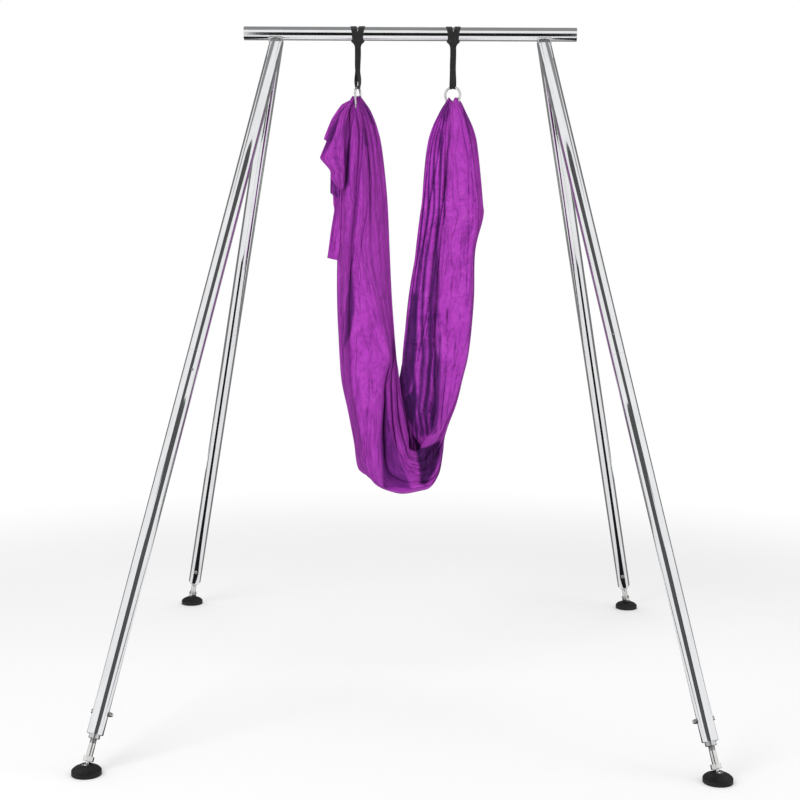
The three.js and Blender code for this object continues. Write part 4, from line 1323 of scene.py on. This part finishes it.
# Small pleats between one guide and the next: how many, and how deep on the left strand and the right one
clothPleats = [(1, 0.6, 1.2), (1, 0.6, 1.0)] + [(1, 0.6, 1.2)] * 6 + [(2, 0.7, 1.2)] * 2 + [(1, 0.6, 1.2)] * 2
clothPleats += [(1, 0.8, 1.2), (1, 1.8, 1.8), (1, 2.5, 3.0), (4, 4.5, 5.0), (4, 4.5, 5.5), (2, 3.0, 5.5)]
clothPleats += [(6, 3.0, 7.0)]


def curveThrough(keys, values, at):
    # cubic through values at keys; one column per value
    keys, values = np.asarray(keys, float), np.asarray(values, float)
    slope = np.gradient(values, keys, axis=0)
    i = np.clip(np.searchsorted(keys, at, side="right") - 1, 0, len(keys) - 2)
    span = keys[i + 1] - keys[i]
    t = np.clip((at - keys[i]) / span, 0, 1)
    shape = (-1,) + (1,) * (values.ndim - 1)
    t, span = t.reshape(shape), span.reshape(shape)
    start = (2 * t ** 3 - 3 * t ** 2 + 1) * values[i] + (t ** 3 - 2 * t ** 2 + t) * (slope[i] * span)
    return start + (3 * t ** 2 - 2 * t ** 3) * values[i + 1] + (t ** 3 - t ** 2) * (slope[i + 1] * span)


def foldsAt(at):
    # the fold points of each row, eased from one keyed rib to the next
    keys = np.array(sorted(clothFolds))
    values = np.array([clothFolds[k] for k in keys]) / 100
    at = np.clip(at, keys[0], keys[-1])
    i = np.clip(np.searchsorted(keys, at, side="right") - 1, 0, len(keys) - 2)
    t = (at - keys[i]) / (keys[i + 1] - keys[i])
    t = (0.6 * t + 0.4 * t * t * (3 - 2 * t)).reshape(-1, 1, 1)
    return values[i] * (1 - t) + values[i + 1] * t


def acrossFold(folds):
    # folds is rows x 20 x 2; gives rows x columns x 2 with sharp valleys and round crests
    found, share = [], []
    steps, valleys = clothLook["columns"], clothLook["valleys"]
    for k, count in enumerate(steps):
        p0, p1, p2 = folds[:, max(k - 1, 0)], folds[:, k], folds[:, k + 1]
        p3 = folds[:, min(k + 2, folds.shape[1] - 1)]
        for s in range(count + (k == len(steps) - 1)):
            t = s / count
            smooth = between(p0, p1, p2, p3, t)
            if k in valleys or k + 1 in valleys:
                rise, fall = sin(t * pi / 2), 1 - cos(t * pi / 2)
                deep, wide = (rise, fall) if k in valleys else (fall, rise)
                cusp = [p1[:, 0] + (p2[:, 0] - p1[:, 0]) * wide, p1[:, 1] + (p2[:, 1] - p1[:, 1]) * deep]
                smooth = 0.35 * smooth + 0.65 * np.stack(cusp, -1)
            found.append(smooth)
            share.append(k + t)
    return np.stack(found, 1), np.array(share)


def clothWaves(u, v, seed, count, low, high, drift):
    # soft seeded noise from a few waves
    chance = np.random.default_rng(seed)
    total = np.zeros(np.broadcast(u, v).shape)
    for _ in range(count):
        f = chance.uniform(low, high)
        g = chance.uniform(-drift, drift)
        total = total + np.cos(2 * pi * (f * u + g * v) + chance.uniform(0, 2 * pi))
    return total / sqrt(count)


def clothRelief(share, at, u, v):
    # depth of the pleats in metres, and where between valley, 0, and crest, 1, each point lies
    table = np.array(clothPleats)
    last = len(clothRibs) - 1
    part = np.clip(share.astype(int), 0, len(table) - 1)
    cycles = np.concatenate([[0], np.cumsum(table[:, 0])])
    phase = cycles[part] + (share - part) * table[part, 0]
    # the ribs from 12 to 20 pass from the left strand to the right one
    toRight = np.clip((at - 12) / 8, 0, 1)[:, None]
    smooth = np.array([0.5, 1, 0.5]) / 2
    left, right = (np.convolve(np.pad(table[part, k], 1, "edge"), smooth, "valid") for k in (1, 2))
    depth = (left[None, :] * (1 - toRight) + right[None, :] * toRight) * mm
    seed = clothLook["seed"]
    wander = 0.42 * clothWaves(u, v, seed, 5, 2, 9, 3.0) + 0.25 * clothWaves(u, v, seed + 1, 4, 4, 12, 9.0)
    crest = np.abs(np.cos(pi * (phase[None, :] + wander)))
    vary = 0.65 + 0.35 * clothWaves(u, v, seed + 2, 4, 3, 10, 6.0)
    # pleats die away into the gathers at the rings
    gather = np.clip(np.minimum(at, last - at) / 2.5, 0.12, 1)[:, None]
    crumple = clothWaves(u, v, seed + 3, 7, 6, 30, 26.0) * clothWaves(u, v, seed + 4, 5, 3, 14, 12.0)
    depth = depth * np.clip(vary, 0.2, 1.2) * gather
    return depth, crest + 0.35 * mm * crumple / np.maximum(depth, 0.4 * mm)


def clothShade(share, at, crest, d):
    # darkness kept in the valleys, where light does not reach between the pleats
    part = np.clip(share.astype(int), 0, len(clothPleats) - 1)
    deep = np.array([p[2] for p in clothPleats])[part]
    weight = np.clip(deep / 5, 0.12, 1)[None, :]
    shade = 1 - weight * (1 - np.clip(crest, 0, 1) ** 1.1)
    # the guide valleys of the left strand, ribs 7 to 15
    left = (np.clip((15 - at) / 3, 0, 1) * np.clip((at - 7) / 3, 0.25, 1))[:, None]
    for k in clothLook["valleys"]:
        near = np.clip(np.abs(share - k) / 0.42, 0, 1)[None, :]
        shade = shade * (1 - left * (1 - near) ** 1.3 * 0.6)
    # the hollow below the lip of the pocket, ribs 13 to 20
    hollow = (np.clip(1 - np.abs(share - 5) / 2.9, 0, 1) ** 0.3)[None, :]
    low = (np.clip((at - 13) / 1.5, 0, 1) * np.clip((20.4 - at) / 1.2, 0, 1))[:, None]
    sunk = np.clip((d + 0.75) / 0.55, 0, 1)
    return shade * (1 - hollow * low * sunk * 0.5)


# Creases on the front of the cloth: width and depth in mm, the darkness of the painted shade along them, and
# the path in pixels of the photo
clothCreases = [
    (7, 14, 0.44, [(352, 99), (353, 117), (351, 128), (348, 155), (347, 172), (346, 188)]),
    (5, 9, 0.37, [(362, 101), (363, 122), (362.5, 141), (361, 165), (359, 180), (357, 207), (354, 235),
        (353, 254), (350, 274), (348, 300), (343, 338)]),
    (5, 10, 0.39, [(365, 130), (368, 155), (369.5, 168), (371, 180), (370, 200)]),
    (4, 7, 0.29, [(370, 196), (367, 211), (364, 226), (362, 240), (360, 260), (355, 292), (354, 312),
        (349, 336), (344, 350)]),
    (4, 6, 0.2, [(361, 100), (368, 112), (374, 126), (377.5, 152)]),
    (3, 5, 0.2, [(360, 99), (367, 104), (375, 116), (379, 132), (382, 150)]),
    (3, 5, 0.2, [(362, 99), (372, 106), (379, 118), (384, 138)]),
    (3, 4, 0.17, [(384, 200), (381, 212), (380, 224), (378, 238)]),
    (3, 4, 0.15, [(376, 150), (379, 175), (380, 200)]),
    (3, 5, 0.27, [(339, 195), (338, 208), (339, 222), (339, 241), (337, 256), (338, 290)]),
    (3, 4, 0.2, [(345, 190), (346, 220), (345, 250), (346, 282)]),
    (3, 4, 0.17, [(351, 120), (350, 160), (351, 200)]),
    (3, 4, 0.17, [(355, 150), (354, 185), (351, 220)]),
    (4, 6, 0.5, [(351, 262), (350, 282), (346, 306), (341, 344)]),
    (3, 3, 0.25, [(364, 346), (357, 362), (349, 386)]),
    (3, 3, 0.25, [(364, 348), (360, 370), (357, 400)]),
    (3, 3, 0.25, [(365, 348), (364, 370), (365, 392)]),
    (3, 3, 0.25, [(366, 348), (371, 362), (377, 374)]),
    (3, 3, 0.2, [(366, 346), (376, 354), (386, 372)]),
    (3, 3, 0.2, [(362, 344), (352, 358), (345, 376)]),
    (3, 3, 0.2, [(360, 380), (359, 410), (361, 440)]),
    (3, 3, 0.2, [(350, 400), (354, 430), (358, 462)]),
    (3, 3, 0.2, [(368, 400), (368, 430), (371, 470)]),
    (3, 3, 0.2, [(376, 384), (375, 420), (377, 468)]),
    (3, 3, 0.25, [(369, 308), (378, 311), (390, 307)]),
    (3, 3, 0.25, [(371, 330), (379, 322), (389, 318)]),
    (3, 3, 0.2, [(372, 298), (380, 301), (391, 296)]),
    (3, 3, 0.2, [(370, 318), (377, 333), (388, 333)]),
    (5, 9, 0.42, [(393, 336), (394, 356), (391, 372), (386, 386)]),
    (5, 9, 0.23, [(394, 384), (395, 400), (396, 416), (399, 436)]),
    (4, 8, 0.21, [(393, 330), (395, 352), (397, 372), (400, 398), (402, 410), (405, 430), (411, 452),
        (418, 474)]),
    (3, 6, 0.17, [(396, 344), (399, 370), (402, 392), (406, 414), (411, 436), (416, 456)]),
    (3, 6, 0.17, [(389, 402), (396, 424), (402, 446), (410, 466), (416, 482)]),
    (3, 5, 0.15, [(387, 396), (393, 424), (400, 450), (408, 474), (414, 487)]),
    (3, 4, 0.13, [(386, 420), (390, 446), (398, 470), (407, 488)]),
    (3, 4, 0.13, [(384, 440), (386, 464), (393, 487)]),
    (5, 9, 0.8, [(440, 120), (440, 140), (436.5, 165), (432, 190), (427, 220), (422.5, 257), (418, 298),
        (414, 330)]),
    (5, 11, 0.9, [(450, 108), (450, 132), (447.5, 157), (446, 183), (442.5, 207), (438, 233),
        (434, 257), (430, 298), (424, 330), (418, 360), (413, 396)]),
    (3, 5, 0.5, [(444, 110), (445, 130), (441, 160), (438, 190)]),
    (3, 4, 0.4, [(452, 108), (451, 132), (449, 157), (447, 190), (445, 215), (445, 240), (442, 267),
        (441, 298)]),
    (4, 7, 0.5, [(461, 104), (463, 132), (468, 157), (469, 190), (469, 215), (468, 248), (466, 298),
        (463, 340)]),
    (3, 6, 0.6, [(463, 106), (470, 137), (474, 162), (476.5, 183), (479, 210), (477, 238)]),
    (3, 5, 0.4, [(465, 108), (472, 128), (478, 160)]),
    (2.5, 4, 0.4, [(471, 140), (472, 175), (473, 207), (472, 236)]),
    (3, 5, 0.55, [(431, 150), (428, 170), (425, 190), (422, 223), (418, 273), (413, 312), (409, 350)]),
    (3, 5, 0.55, [(434, 168), (430, 197), (425, 257), (423, 298), (418, 340), (411, 384)]),
    (3, 5, 0.5, [(441, 214), (437, 240), (435, 257), (432, 290), (428, 322), (421, 372), (415, 420)]),
    (4, 7, 0.7, [(442, 222), (440, 250), (438, 275), (437, 300), (434, 345), (428, 392), (421, 434)]),
    (4, 9, 0.8, [(446.5, 290), (447.5, 340), (446, 373), (442.5, 407), (440, 434)]),
    (3, 5, 0.45, [(457, 330), (455, 350), (453, 372), (449, 397), (445, 424)]),
    (2.5, 4, 0.35, [(460, 300), (460, 340), (456, 380), (450, 412)]),
    (2.5, 3, 0.3, [(457, 248), (453, 268), (451, 290)]),
    (2.5, 3, 0.3, [(462, 237), (460, 267), (458, 292)]),
    (3, 6, 0.6, [(440, 350), (438, 372), (433, 398), (425, 432)]),
    (2.5, 5, 0.6, [(438, 382), (434, 404), (428, 434)]),
    (2.5, 5, 0.6, [(432, 368), (428, 392), (420, 424), (416, 434)]),
    (2.5, 5, 0.5, [(441, 330), (439, 356), (436, 380)]),
    (4, 8, 0.8, [(412, 437), (421, 448), (433, 444), (441, 440)]),
    (3, 8, 0.8, [(427, 448), (426, 462), (424, 482)]),
    (3, 8, 0.8, [(433, 446), (433, 460), (430, 482)]),
    (3, 5, 0.5, [(441, 442), (442, 458), (438, 476), (429, 488)]),
    (3, 5, 0.5, [(416, 443), (420, 460), (423, 486)]),
    (3, 5, 0.5, [(436, 444), (436, 460), (433, 474)]),
    (2.5, 4, 0.45, [(430, 446), (429, 466), (427, 486)]),
    (2.5, 4, 0.13, [(388, 404), (390, 440), (397, 486)]),
    (2.5, 4, 0.13, [(392, 398), (398, 430), (405, 458), (413, 484)]),
    (2.5, 4, 0.13, [(398, 420), (405, 444), (413, 466), (419, 484)]),
    (2.5, 4, 0.35, [(404, 416), (409, 438), (416, 458), (420, 474)]),
    (2.5, 3, 0.3, [(381, 440), (378, 466), (380, 486)]),
    (2.5, 3, 0.3, [(372, 440), (371, 462), (374, 482)]),
    (2.5, 3, 0.3, [(364, 430), (365, 452), (368, 474)]),
    (3, 4, 0.35, [(441, 446), (444, 458), (442, 472), (435, 484)]),
]
# Sunken parts of the front and patches of painted shade: depth in mm, 0 where only shade is painted, the
# darkness of the painted shade, and the outline in pixels of the photo
clothHollows = [
    (22, 0.62, [(386, 388), (389, 420), (394, 440), (400, 460), (407, 476), (411, 489), (383, 489),
        (382, 460), (381, 440), (382, 414)]),
    (26, 0.9, [(413, 438), (421, 449), (433, 445), (440, 442), (440, 456), (435, 472), (425, 486),
        (420, 484), (420, 470)]),
    (4, 0.9, [(412, 292), (418, 296), (417, 345), (414, 375), (410, 393), (404, 398), (400, 382),
        (405, 340)]),
    (4, 1.0, [(404, 398), (411, 393), (416, 383), (417.5, 403), (413, 431), (407, 419)]),
    (0, 0.72, [(427, 318), (441, 314), (442, 400), (437, 433), (420, 438), (413, 432), (422, 390)]),
    (6, 0.75, [(351, 270), (354, 292), (354, 312), (349, 336), (343, 350), (346, 318)]),
    (3, 0.4, [(362, 102), (366, 102), (375, 117), (378, 128), (370, 124), (364, 113)]),
    (4, 0.5, [(363, 129), (366, 127), (368.5, 146), (364, 146)]),
    (4, 0.7, [(345, 152), (349, 138), (350.5, 160), (349.5, 186), (343, 186)]),
    (0, 0.32, [(468, 212), (476, 238), (475, 300), (471, 336), (466, 348), (467, 300)]),
    (3, 0.5, [(437, 250), (440, 262), (440, 318), (428, 322), (431, 290)]),
    (0, 0.4, [(420, 235), (424, 235), (421, 300), (409, 300)]),
    (3, 0.5, [(443, 103), (449, 100), (450.5, 112), (447, 122), (440, 117)]),
    (3, 0.5, [(462, 104), (470, 122), (472, 138), (467, 130), (463, 115)]),
]


def fromPhoto(path):
    # pixels of the photo carried to the plane through the front of the cloth
    turn = scene.camera.matrix_world.to_3x3()
    focal = 800 * cameraLens["focal"] / cameraLens["sensor"]
    places = []
    for px, py in path:
        ray = turn @ Vector(((px - 400) / focal, (400 - py) / focal, -1))
        far = (clothLook["front"] - cameraAt["y"]) / ray.y
        places.append((cameraAt["x"] + ray.x * far, cameraAt["z"] + ray.z * far))
    return np.array(places)


def fromSegment(x, z, a, b):
    # how far along a to b each point's nearest place lies, and the way from there to the point
    step = b - a
    t = np.clip(((x - a[0]) * step[0] + (z - a[1]) * step[1]) / max(step @ step, 1e-12), 0, 1)
    return t, x - a[0] - t * step[0], z - a[1] - t * step[1]


def creaseFront(points, crest, creases, hollows):
    # drives the creases and hollows into the front of the cloth; gives back the light left in them
    x, z = points[..., 0], points[..., 2]
    along, across = np.gradient(points, axis=0), np.gradient(points, axis=1)
    normal = np.cross(along, across)
    facing = np.abs(normal[..., 1]) / np.maximum(np.linalg.norm(normal, axis=-1), 1e-9)
    facing = np.clip(facing * 1.4 - 0.2, 0, 1)
    push, light = np.zeros(x.shape), np.ones(x.shape)
    for width, deep, dark, path in creases:
        path = fromPhoto(path)
        line = curveThrough(np.arange(len(path)), path, np.linspace(0, len(path) - 1, 4 * len(path)))
        margin = 4 * width * mm
        near = (x > line[:, 0].min() - margin) & (x < line[:, 0].max() + margin)
        near &= (z > line[:, 1].min() - margin) & (z < line[:, 1].max() + margin)
        px, pz = x[near], z[near]
        best, side, place = np.full(px.shape, 9.0), np.ones(px.shape), np.zeros(px.shape)
        for k, (a, b) in enumerate(zip(line, line[1:])):
            t, dx, dz = fromSegment(px, pz, a, b)
            gap = np.hypot(dx, dz)
            closer = gap < best
            best = np.where(closer, gap, best)
            side = np.where(closer, np.sign((b - a)[0] * dz - (b - a)[1] * dx), side)
            place = np.where(closer, (k + t) / (len(line) - 1), place)
        taper = np.clip(np.minimum(place, 1 - place) * 6 + 0.15, 0, 1)
        wide = np.where(side > 0, 0.6, 1.35) * width * mm
        push[near] = np.maximum(push[near], 1.35 * deep * mm * np.exp(-best / wide) * taper)
        light[near] *= 1 - min(1, 1.3 * dark) * np.exp(-(best / (0.5 * width * mm)) ** 2) * taper
    for deep, dark, path in hollows:
        path = fromPhoto(path)
        inside, best = np.zeros(x.shape, bool), np.full(x.shape, 9.0)
        for a, b in zip(np.roll(path, 1, axis=0), path):
            _, dx, dz = fromSegment(x, z, a, b)
            best = np.minimum(best, np.hypot(dx, dz))
            leftOf = x < a[0] + (z - a[1]) * (b - a)[0] / ((b - a)[1] + 1e-12)
            inside ^= ((a[1] > z) != (b[1] > z)) & leftOf
        part = np.clip(0.5 + np.where(inside, best, -best) / (12 * mm), 0, 1)
        push = push + deep * mm * part
        light *= 1 - dark * part * (1 - 0.5 * np.clip(crest, 0, 1) ** 3 * (deep == 0))
    return push * facing, light


def clothPiece(name, points, across, along, values):
    # one sheet over a grid of points, with the light left in its folds
    rows, columns = points.shape[:2]
    faces = gridFaces(rows, columns)
    layout = [(across[c % columns], along[c // columns]) for face in faces for c in face]
    cloth = newPiece(name, points.reshape(-1, 3), faces, purpleFabric, layout, 0, False)
    layer = cloth.data.attributes.new("fold", "FLOAT", "POINT")
    layer.data.foreach_set("value", np.asarray(values, dtype=np.float32).ravel())
    return cloth


def addHammock():
    look = clothLook
    ribs = np.array(clothRibs, float) * mm
    order, last = np.arange(len(ribs)), len(ribs) - 1
    # rows are spread by length, closer at the gathers and in the belly
    middle = (ribs[:, :2] + ribs[:, 2:4]) / 2
    middle[:, 1] = ribs[:, 1] * 0.7 + ribs[:, 3] * 0.3
    steps = np.hypot(*np.diff(middle, axis=0).T)
    belly = (order[:-1] > 10) & (order[:-1] < 20)
    length = np.concatenate([[0], np.cumsum(steps * np.where(belly, 2, 1) + look["rowGap"])])
    v = np.linspace(0, length[-1], look["rows"])
    at = np.interp(v, length, order)
    rib = curveThrough(order, ribs, at)
    spots, share = acrossFold(foldsAt(at))
    a, d = spots[..., 0], spots[..., 1]
    u = np.linspace(0, 1, a.shape[1])[None, :]
    depth, crest = clothRelief(share, at, u, (v / v[-1])[:, None])
    push = depth * (1 - crest)
    tangent = np.gradient(spots, axis=1)
    halfWide = (np.hypot(rib[:, 2] - rib[:, 0], rib[:, 3] - rib[:, 1]) / 2)[:, None]
    halfDeep = rib[:, 4][:, None]
    tx, ty = tangent[..., 0] * halfWide, tangent[..., 1] * halfDeep
    size = np.maximum(np.hypot(tx, ty), 1e-5)
    outA, outD = ty / size, -tx / size
    outward = np.where(outA * a * halfWide + outD * d * halfDeep < 0, -1, 1)
    across = a * halfWide - push * outA * outward
    deep = d * halfDeep - push * outD * outward
    # each rib leans from its outer to its inner edge; at the rings it turns with the ring
    centreX, centreZ = ((rib[:, k] + rib[:, k + 2])[:, None] / 2 for k in (0, 1))
    axisX, axisZ = ((rib[:, k + 2] - rib[:, k])[:, None] / (2 * halfWide) for k in (0, 1))
    turn = 0
    for side, fromRing, offset in (("left", at, -90), ("right", last - at, 0)):
        blend = np.clip(1 - (fromRing - 0.6) / look["ringBlend"], 0, 1)
        turn = turn + radians(ringLook["turns"][side] + offset) * blend ** 2 * (3 - 2 * blend)
    ca, sa = np.cos(turn)[:, None], np.sin(turn)[:, None]
    x = centreX + across * axisX * ca - deep * sa
    y = across * axisX * sa + deep * ca
    z = centreZ + across * axisZ
    # the gathered edge over each ring is uneven
    edge = np.clip(1 - np.minimum(at, last - at) / 1.4, 0, 1)[:, None]
    z = z - edge * 9 * mm * (0.5 - 0.5 * np.cos(2 * pi * 7 * u + 1.3)) * np.abs(np.sin(9 * u + 0.4))
    # notch between the two peaks of the cloth over the right ring
    z = z - edge * 15 * mm * np.exp(-((x - look["notch"]) / (7 * mm)) ** 2)
    push, light = creaseFront(np.stack([x, y, z], -1), crest, clothCreases, clothHollows)
    front = np.clip((0.75 - d) / 0.3, 0, 1)
    points = np.stack([x, y + push * front, z], -1)
    along = np.interp(at, order, np.concatenate([[0], np.cumsum(steps)]) / steps.sum()) * look["flatLength"]
    shade = clothShade(share, at, crest, d) * (1 - front * (1 - light))
    cloth = clothPiece("hammock_cloth", points, share / share[-1] * look["flatWidth"], along, shade)
    return finished(cloth, "sling", "hammock_fabric", "hammock")


# Loose end of the cloth beside the left strand: two layers, each an outline seen from the front
tailLook = {
    "front": [(-252, 2637), (-302, 2610), (-343, 2549), (-373, 2478), (-379, 2456), (-368, 2448),
        (-392, 2390), (-395, 2371), (-352, 2321), (-348, 2286), (-322, 2250), (-301, 2230)],
    "frontInner": [(-244, 2632), (-262, 2604), (-278, 2549), (-288, 2490), (-289, 2460), (-289, 2444),
        (-288, 2395), (-287, 2365), (-286, 2318), (-286, 2282), (-289, 2250), (-296, 2230)],
    "under": [(-340, 2350), (-350, 2310), (-351, 2257), (-351, 2222), (-340, 2211), (-338, 2172),
        (-334, 2147), (-341, 2100), (-351, 2037), (-360, 1966), (-365, 1932)],
    "underInner": [(-300, 2350), (-298, 2310), (-297, 2257), (-300, 2222), (-302, 2208), (-302, 2168),
        (-303, 2146), (-304, 2098), (-306, 2036), (-310, 1964), (-318, 1922)],
    "creases": [
        (4, 7, 0.7, [(348, 103), (340, 113), (337, 124), (333, 136), (326, 152)]),
        (3, 5, 0.4, [(349, 106), (345, 118), (344, 132), (344, 150), (344, 186)]),
        (3, 4, 0.35, [(343, 108), (333, 120), (327, 134)]),
        (2.5, 3, 0.3, [(331, 150), (338, 147), (342, 150)]),
        (2.5, 3, 0.3, [(328, 160), (336, 158), (343, 162)]),
        (2.5, 3, 0.25, [(334, 170), (339, 176), (342, 188)]),
    ],
    # painted shade in the front layer's hollows; the second has no depth and is painted shade alone
    "hollows": [
        (3, 0.6, [(338, 119), (335, 133), (326, 153), (321, 160), (323, 147), (330, 130)]),
        (0, 0.3, [(350, 97), (344, 101), (336, 112), (331, 124), (328, 134), (325, 138), (331, 116),
                  (340, 102)]),
    ],
    # a patch of painted shade on the under layer, with no depth
    "underHollows": [(0, 0.6, [(328, 168), (345, 168), (345, 192), (338, 197), (328, 197)])],
    "rows": 170, "columns": 48,
}


def alongEdge(edge, at):
    # straight between the points, with each corner eased
    keys = np.arange(len(edge))
    exact = np.stack([np.interp(at, keys, edge[:, k]) for k in (0, 1)], -1)
    return 0.55 * exact + 0.45 * curveThrough(keys, edge, at)


def tailSheet(name, flat, outerEdge, innerEdge, depthAt, pleats, fold, seed, creases, hollows):
    look = tailLook
    rows, columns = look["rows"], look["columns"]
    outer, inner = np.array(outerEdge, float) * mm, np.array(innerEdge, float) * mm
    steps = np.concatenate([[0], np.cumsum(np.hypot(*np.diff((outer + inner) / 2, axis=0).T) + 8 * mm)])
    at = np.interp(np.linspace(0, steps[-1], rows), steps, np.arange(len(outer)))
    left, right = alongEdge(outer, at), alongEdge(inner, at)
    u, v = np.linspace(0, 1, columns)[None, :], np.linspace(0, 1, rows)[:, None]
    wander = 0.35 * clothWaves(u * 0.4, v, seed, 4, 1, 4, 1.6)
    crest = np.abs(np.cos(pi * (pleats * u + wander)))
    x = left[:, :1] + (right[:, :1] - left[:, :1]) * u
    z = left[:, 1:] + (right[:, 1:] - left[:, 1:]) * u
    grow = np.clip(v * 5, 0.15, 1) * np.clip((1 - v) * 6, 0.3, 1)
    ripple = clothWaves(u * 0.5, v, seed + 1, 5, 2, 9, 6) * 0.7 * mm
    y = depthAt(u, v) * mm + (1 - crest) * fold * mm * grow + ripple
    points = np.stack([x, y, z], -1)
    push, light = creaseFront(points, crest, creases, hollows)
    points[..., 1] += push
    shade = (1 - 0.4 * (1 - np.clip(crest, 0, 1))) * light
    sheet = clothPiece(name, points, u[0] * flat[0], v[:, 0] * flat[1], shade)
    finished(sheet, "sling", "hammock_fabric")
    print(name, round(sum(p.area for p in sheet.data.polygons), 4), "square metres")


tailSheet(
    "hammock_tail", (0.10, 0.44), tailLook["front"], tailLook["frontInner"],
    lambda u, v: -26 - 32 * np.clip(v * 4, 0, 1) + 15 * (1 - u) ** 2 + 10 * np.abs(u - 0.4), 0.6, 2, 5,
    tailLook["creases"], tailLook["hollows"],
)
tailSheet(
    "hammock_tail_under", (0.052, 0.40), tailLook["under"], tailLook["underInner"],
    lambda u, v: -34 + 10 * (1 - u) + 4 * v, 1.8, 5, 8, [], tailLook["underHollows"],
)
cloth = addHammock()
area = sum(p.area for p in cloth.data.polygons)
print("hammock ready: cloth", round(area, 3), "square metres,", len(cloth.data.polygons), "faces")


# Stage: white floor and sky, soft lamps, and cards that only the bright metal mirrors
stageLook = {
    "floor": 30, "near": 2.4, "fade": 5.2, "white": 1.0, "fill": 0.6, "lift": 0.16, "key": 105, "top": 60,
    "side": 30, "cards": (("black", 0.012), ("grey", 0.2), ("dim", 0.3), ("shade", 0.095)),
}


def stagePiece(name, data):
    item = linked(name, data)
    return item


def plane(name, corners, material):
    mesh = bpy.data.meshes.new(name)
    mesh.from_pydata(corners, [], [(0, 1, 2, 3)])
    mesh.materials.append(material)
    return stagePiece(name, mesh)


def outTo(tree, kind, socket):
    tree.links.new(socket, addNode(tree, kind).inputs["Surface"])


def plainSight(tree):
    # 1 for what the camera sees straight, in a mirror or through a clear body
    path = addNode(tree, "ShaderNodeLightPath").outputs
    seen = math(tree, "MAXIMUM", path["Is Camera Ray"], path["Is Glossy Ray"])
    return math(tree, "MAXIMUM", seen, path["Is Transmission Ray"])


def floorMaterial():
    # takes the shadow near the rig and turns plain white further out
    material, tree = newMaterial("floor")
    body = addNode(tree, "ShaderNodeBsdfDiffuse", Color=(0.88, 0.88, 0.88, 1))
    lift = addNode(tree, "ShaderNodeEmission", Color=(1, 1, 1, 1), Strength=stageLook["lift"])
    both = addNode(tree, "ShaderNodeAddShader", **{"0": body.outputs[0], "1": lift.outputs[0]})
    away = addNode(tree, "ShaderNodeVectorMath", {"operation": "LENGTH"}, Vector=objectPlace(tree))
    span = addNode(
        tree, "ShaderNodeMapRange", {"interpolation_type": "SMOOTHSTEP"}, Value=away.outputs["Value"],
        From_Min=stageLook["near"], From_Max=stageLook["fade"],
    )
    white = addNode(tree, "ShaderNodeEmission", Color=(1, 1, 1, 1), Strength=1.0)
    share = times(tree, span.outputs[0], plainSight(tree))
    mixed = addNode(tree, "ShaderNodeMixShader", Fac=share, **{"1": both.outputs[0], "2": white.outputs[0]})
    outTo(tree, "ShaderNodeOutputMaterial", mixed.outputs[0])
    return material


def addWorld():
    world = bpy.data.worlds.new("studio")
    scene.world = world
    world.use_nodes = True
    tree = world.node_tree
    tree.nodes.clear()
    white, fill = stageLook["white"], stageLook["fill"]
    strength = math(tree, "ADD", times(tree, plainSight(tree), white - fill), fill)
    sky = addNode(tree, "ShaderNodeBackground", Color=(1, 1, 1, 1), Strength=strength)
    outTo(tree, "ShaderNodeOutputWorld", sky.outputs[0])


def flagMaterial(name, tone):
    material, tree = newMaterial(name)
    body = addNode(tree, "ShaderNodeEmission", Color=(tone, tone, tone, 1), Strength=1.0)
    outTo(tree, "ShaderNodeOutputMaterial", body.outputs[0])
    return material


def flag(name, corners, material):
    # card that shows only as a reflection in the bright metal
    card = plane(name, corners, material)
    card.visible_camera = False
    card.visible_diffuse = False
    card.visible_shadow = False
    card.visible_transmission = False


def strip(near, far):
    # corners of a card across the rig, from half its width, y and z at its two edges
    return [(-near[0], *near[1:]), near, far, (-far[0], *far[1:])]


def lamp(name, energy, size, place, target):
    data = bpy.data.lights.new(name, "AREA")
    data.shape = "RECTANGLE"
    data.size, data.size_y = size
    data.energy = energy
    light = stagePiece(name, data)
    aim = (Vector(target) - Vector(place)).to_track_quat("-Z", "Y")
    light.matrix_world = Matrix.Translation(place) @ aim.to_matrix().to_4x4()
    light.visible_glossy = False


def addStage():
    look = stageLook
    end = look["floor"]
    plane("floor", strip((end, -end, 0), (end, end, 0)), floorMaterial())
    addWorld()
    black, grey, dim, shade = (flagMaterial(name + " card", tone) for name, tone in look["cards"])
    low, wide, back, base, top = 0.02, 4.2, 6.0, 0.15, 6.0
    # the dark room behind the camera, for the bar
    flag("card_front", strip((1.4, -6, low), (1.4, -6, 4.4)), black)
    # both lie edge-on to the bar and give the front legs their dark line
    flag("card_upper", strip((0.76, -0.8, 3.076), (1.7, -4.6, 3.912)), shade)
    flag("card_lower", strip((0.87, -1.45, 1.905), (1.1, -3.1, 0.75)), shade)
    flag("card_front_floor", strip((1.4, -6, low), (1.4, -4.1, low)), black)
    # the rear legs mirror the floor in front of them
    for side in (-1, 1):
        corners = [(1.3, 1.17), (1.04, 1.17), (0.78, -0.4), (1.85, -0.4)]
        flag("card_rear", [(side * x, y, low) for x, y in corners], black)
        corners = [(1.85, -0.4), (0.78, -0.4), (0.92, -1.7), (2.3, -1.7)]
        flag("card_rear_low", [(side * x, y, low) for x, y in corners], black)
    # the room at the sides, behind, above and below
    for name, x in (("card_left", -wide), ("card_right", wide)):
        flag(name, [(x, 0.7, base), (x, back, base), (x, back, top), (x, 0.7, top)], grey)
    flag("card_back", strip((wide, back, base), (wide, back, top)), dim)
    flag("card_over", strip((wide, -2.1, top), (wide, back, top)), dim)
    flag("card_low", strip((wide, 1.35, low), (wide, back, low)), grey)
    lamp("key", look["key"], (3.2, 3.2), (-3.2, -4.2, 4.8), (0, 0, 1.5))
    lamp("top", look["top"], (4.0, 4.0), (0, 0.5, 5.6), (0, 0, 0))
    lamp("side", look["side"], (2.4, 3.0), (4.2, -1.6, 3.0), (0, 0, 1.4))
    scene.view_settings.view_transform = "Standard"


addStage()
print("stage ready")
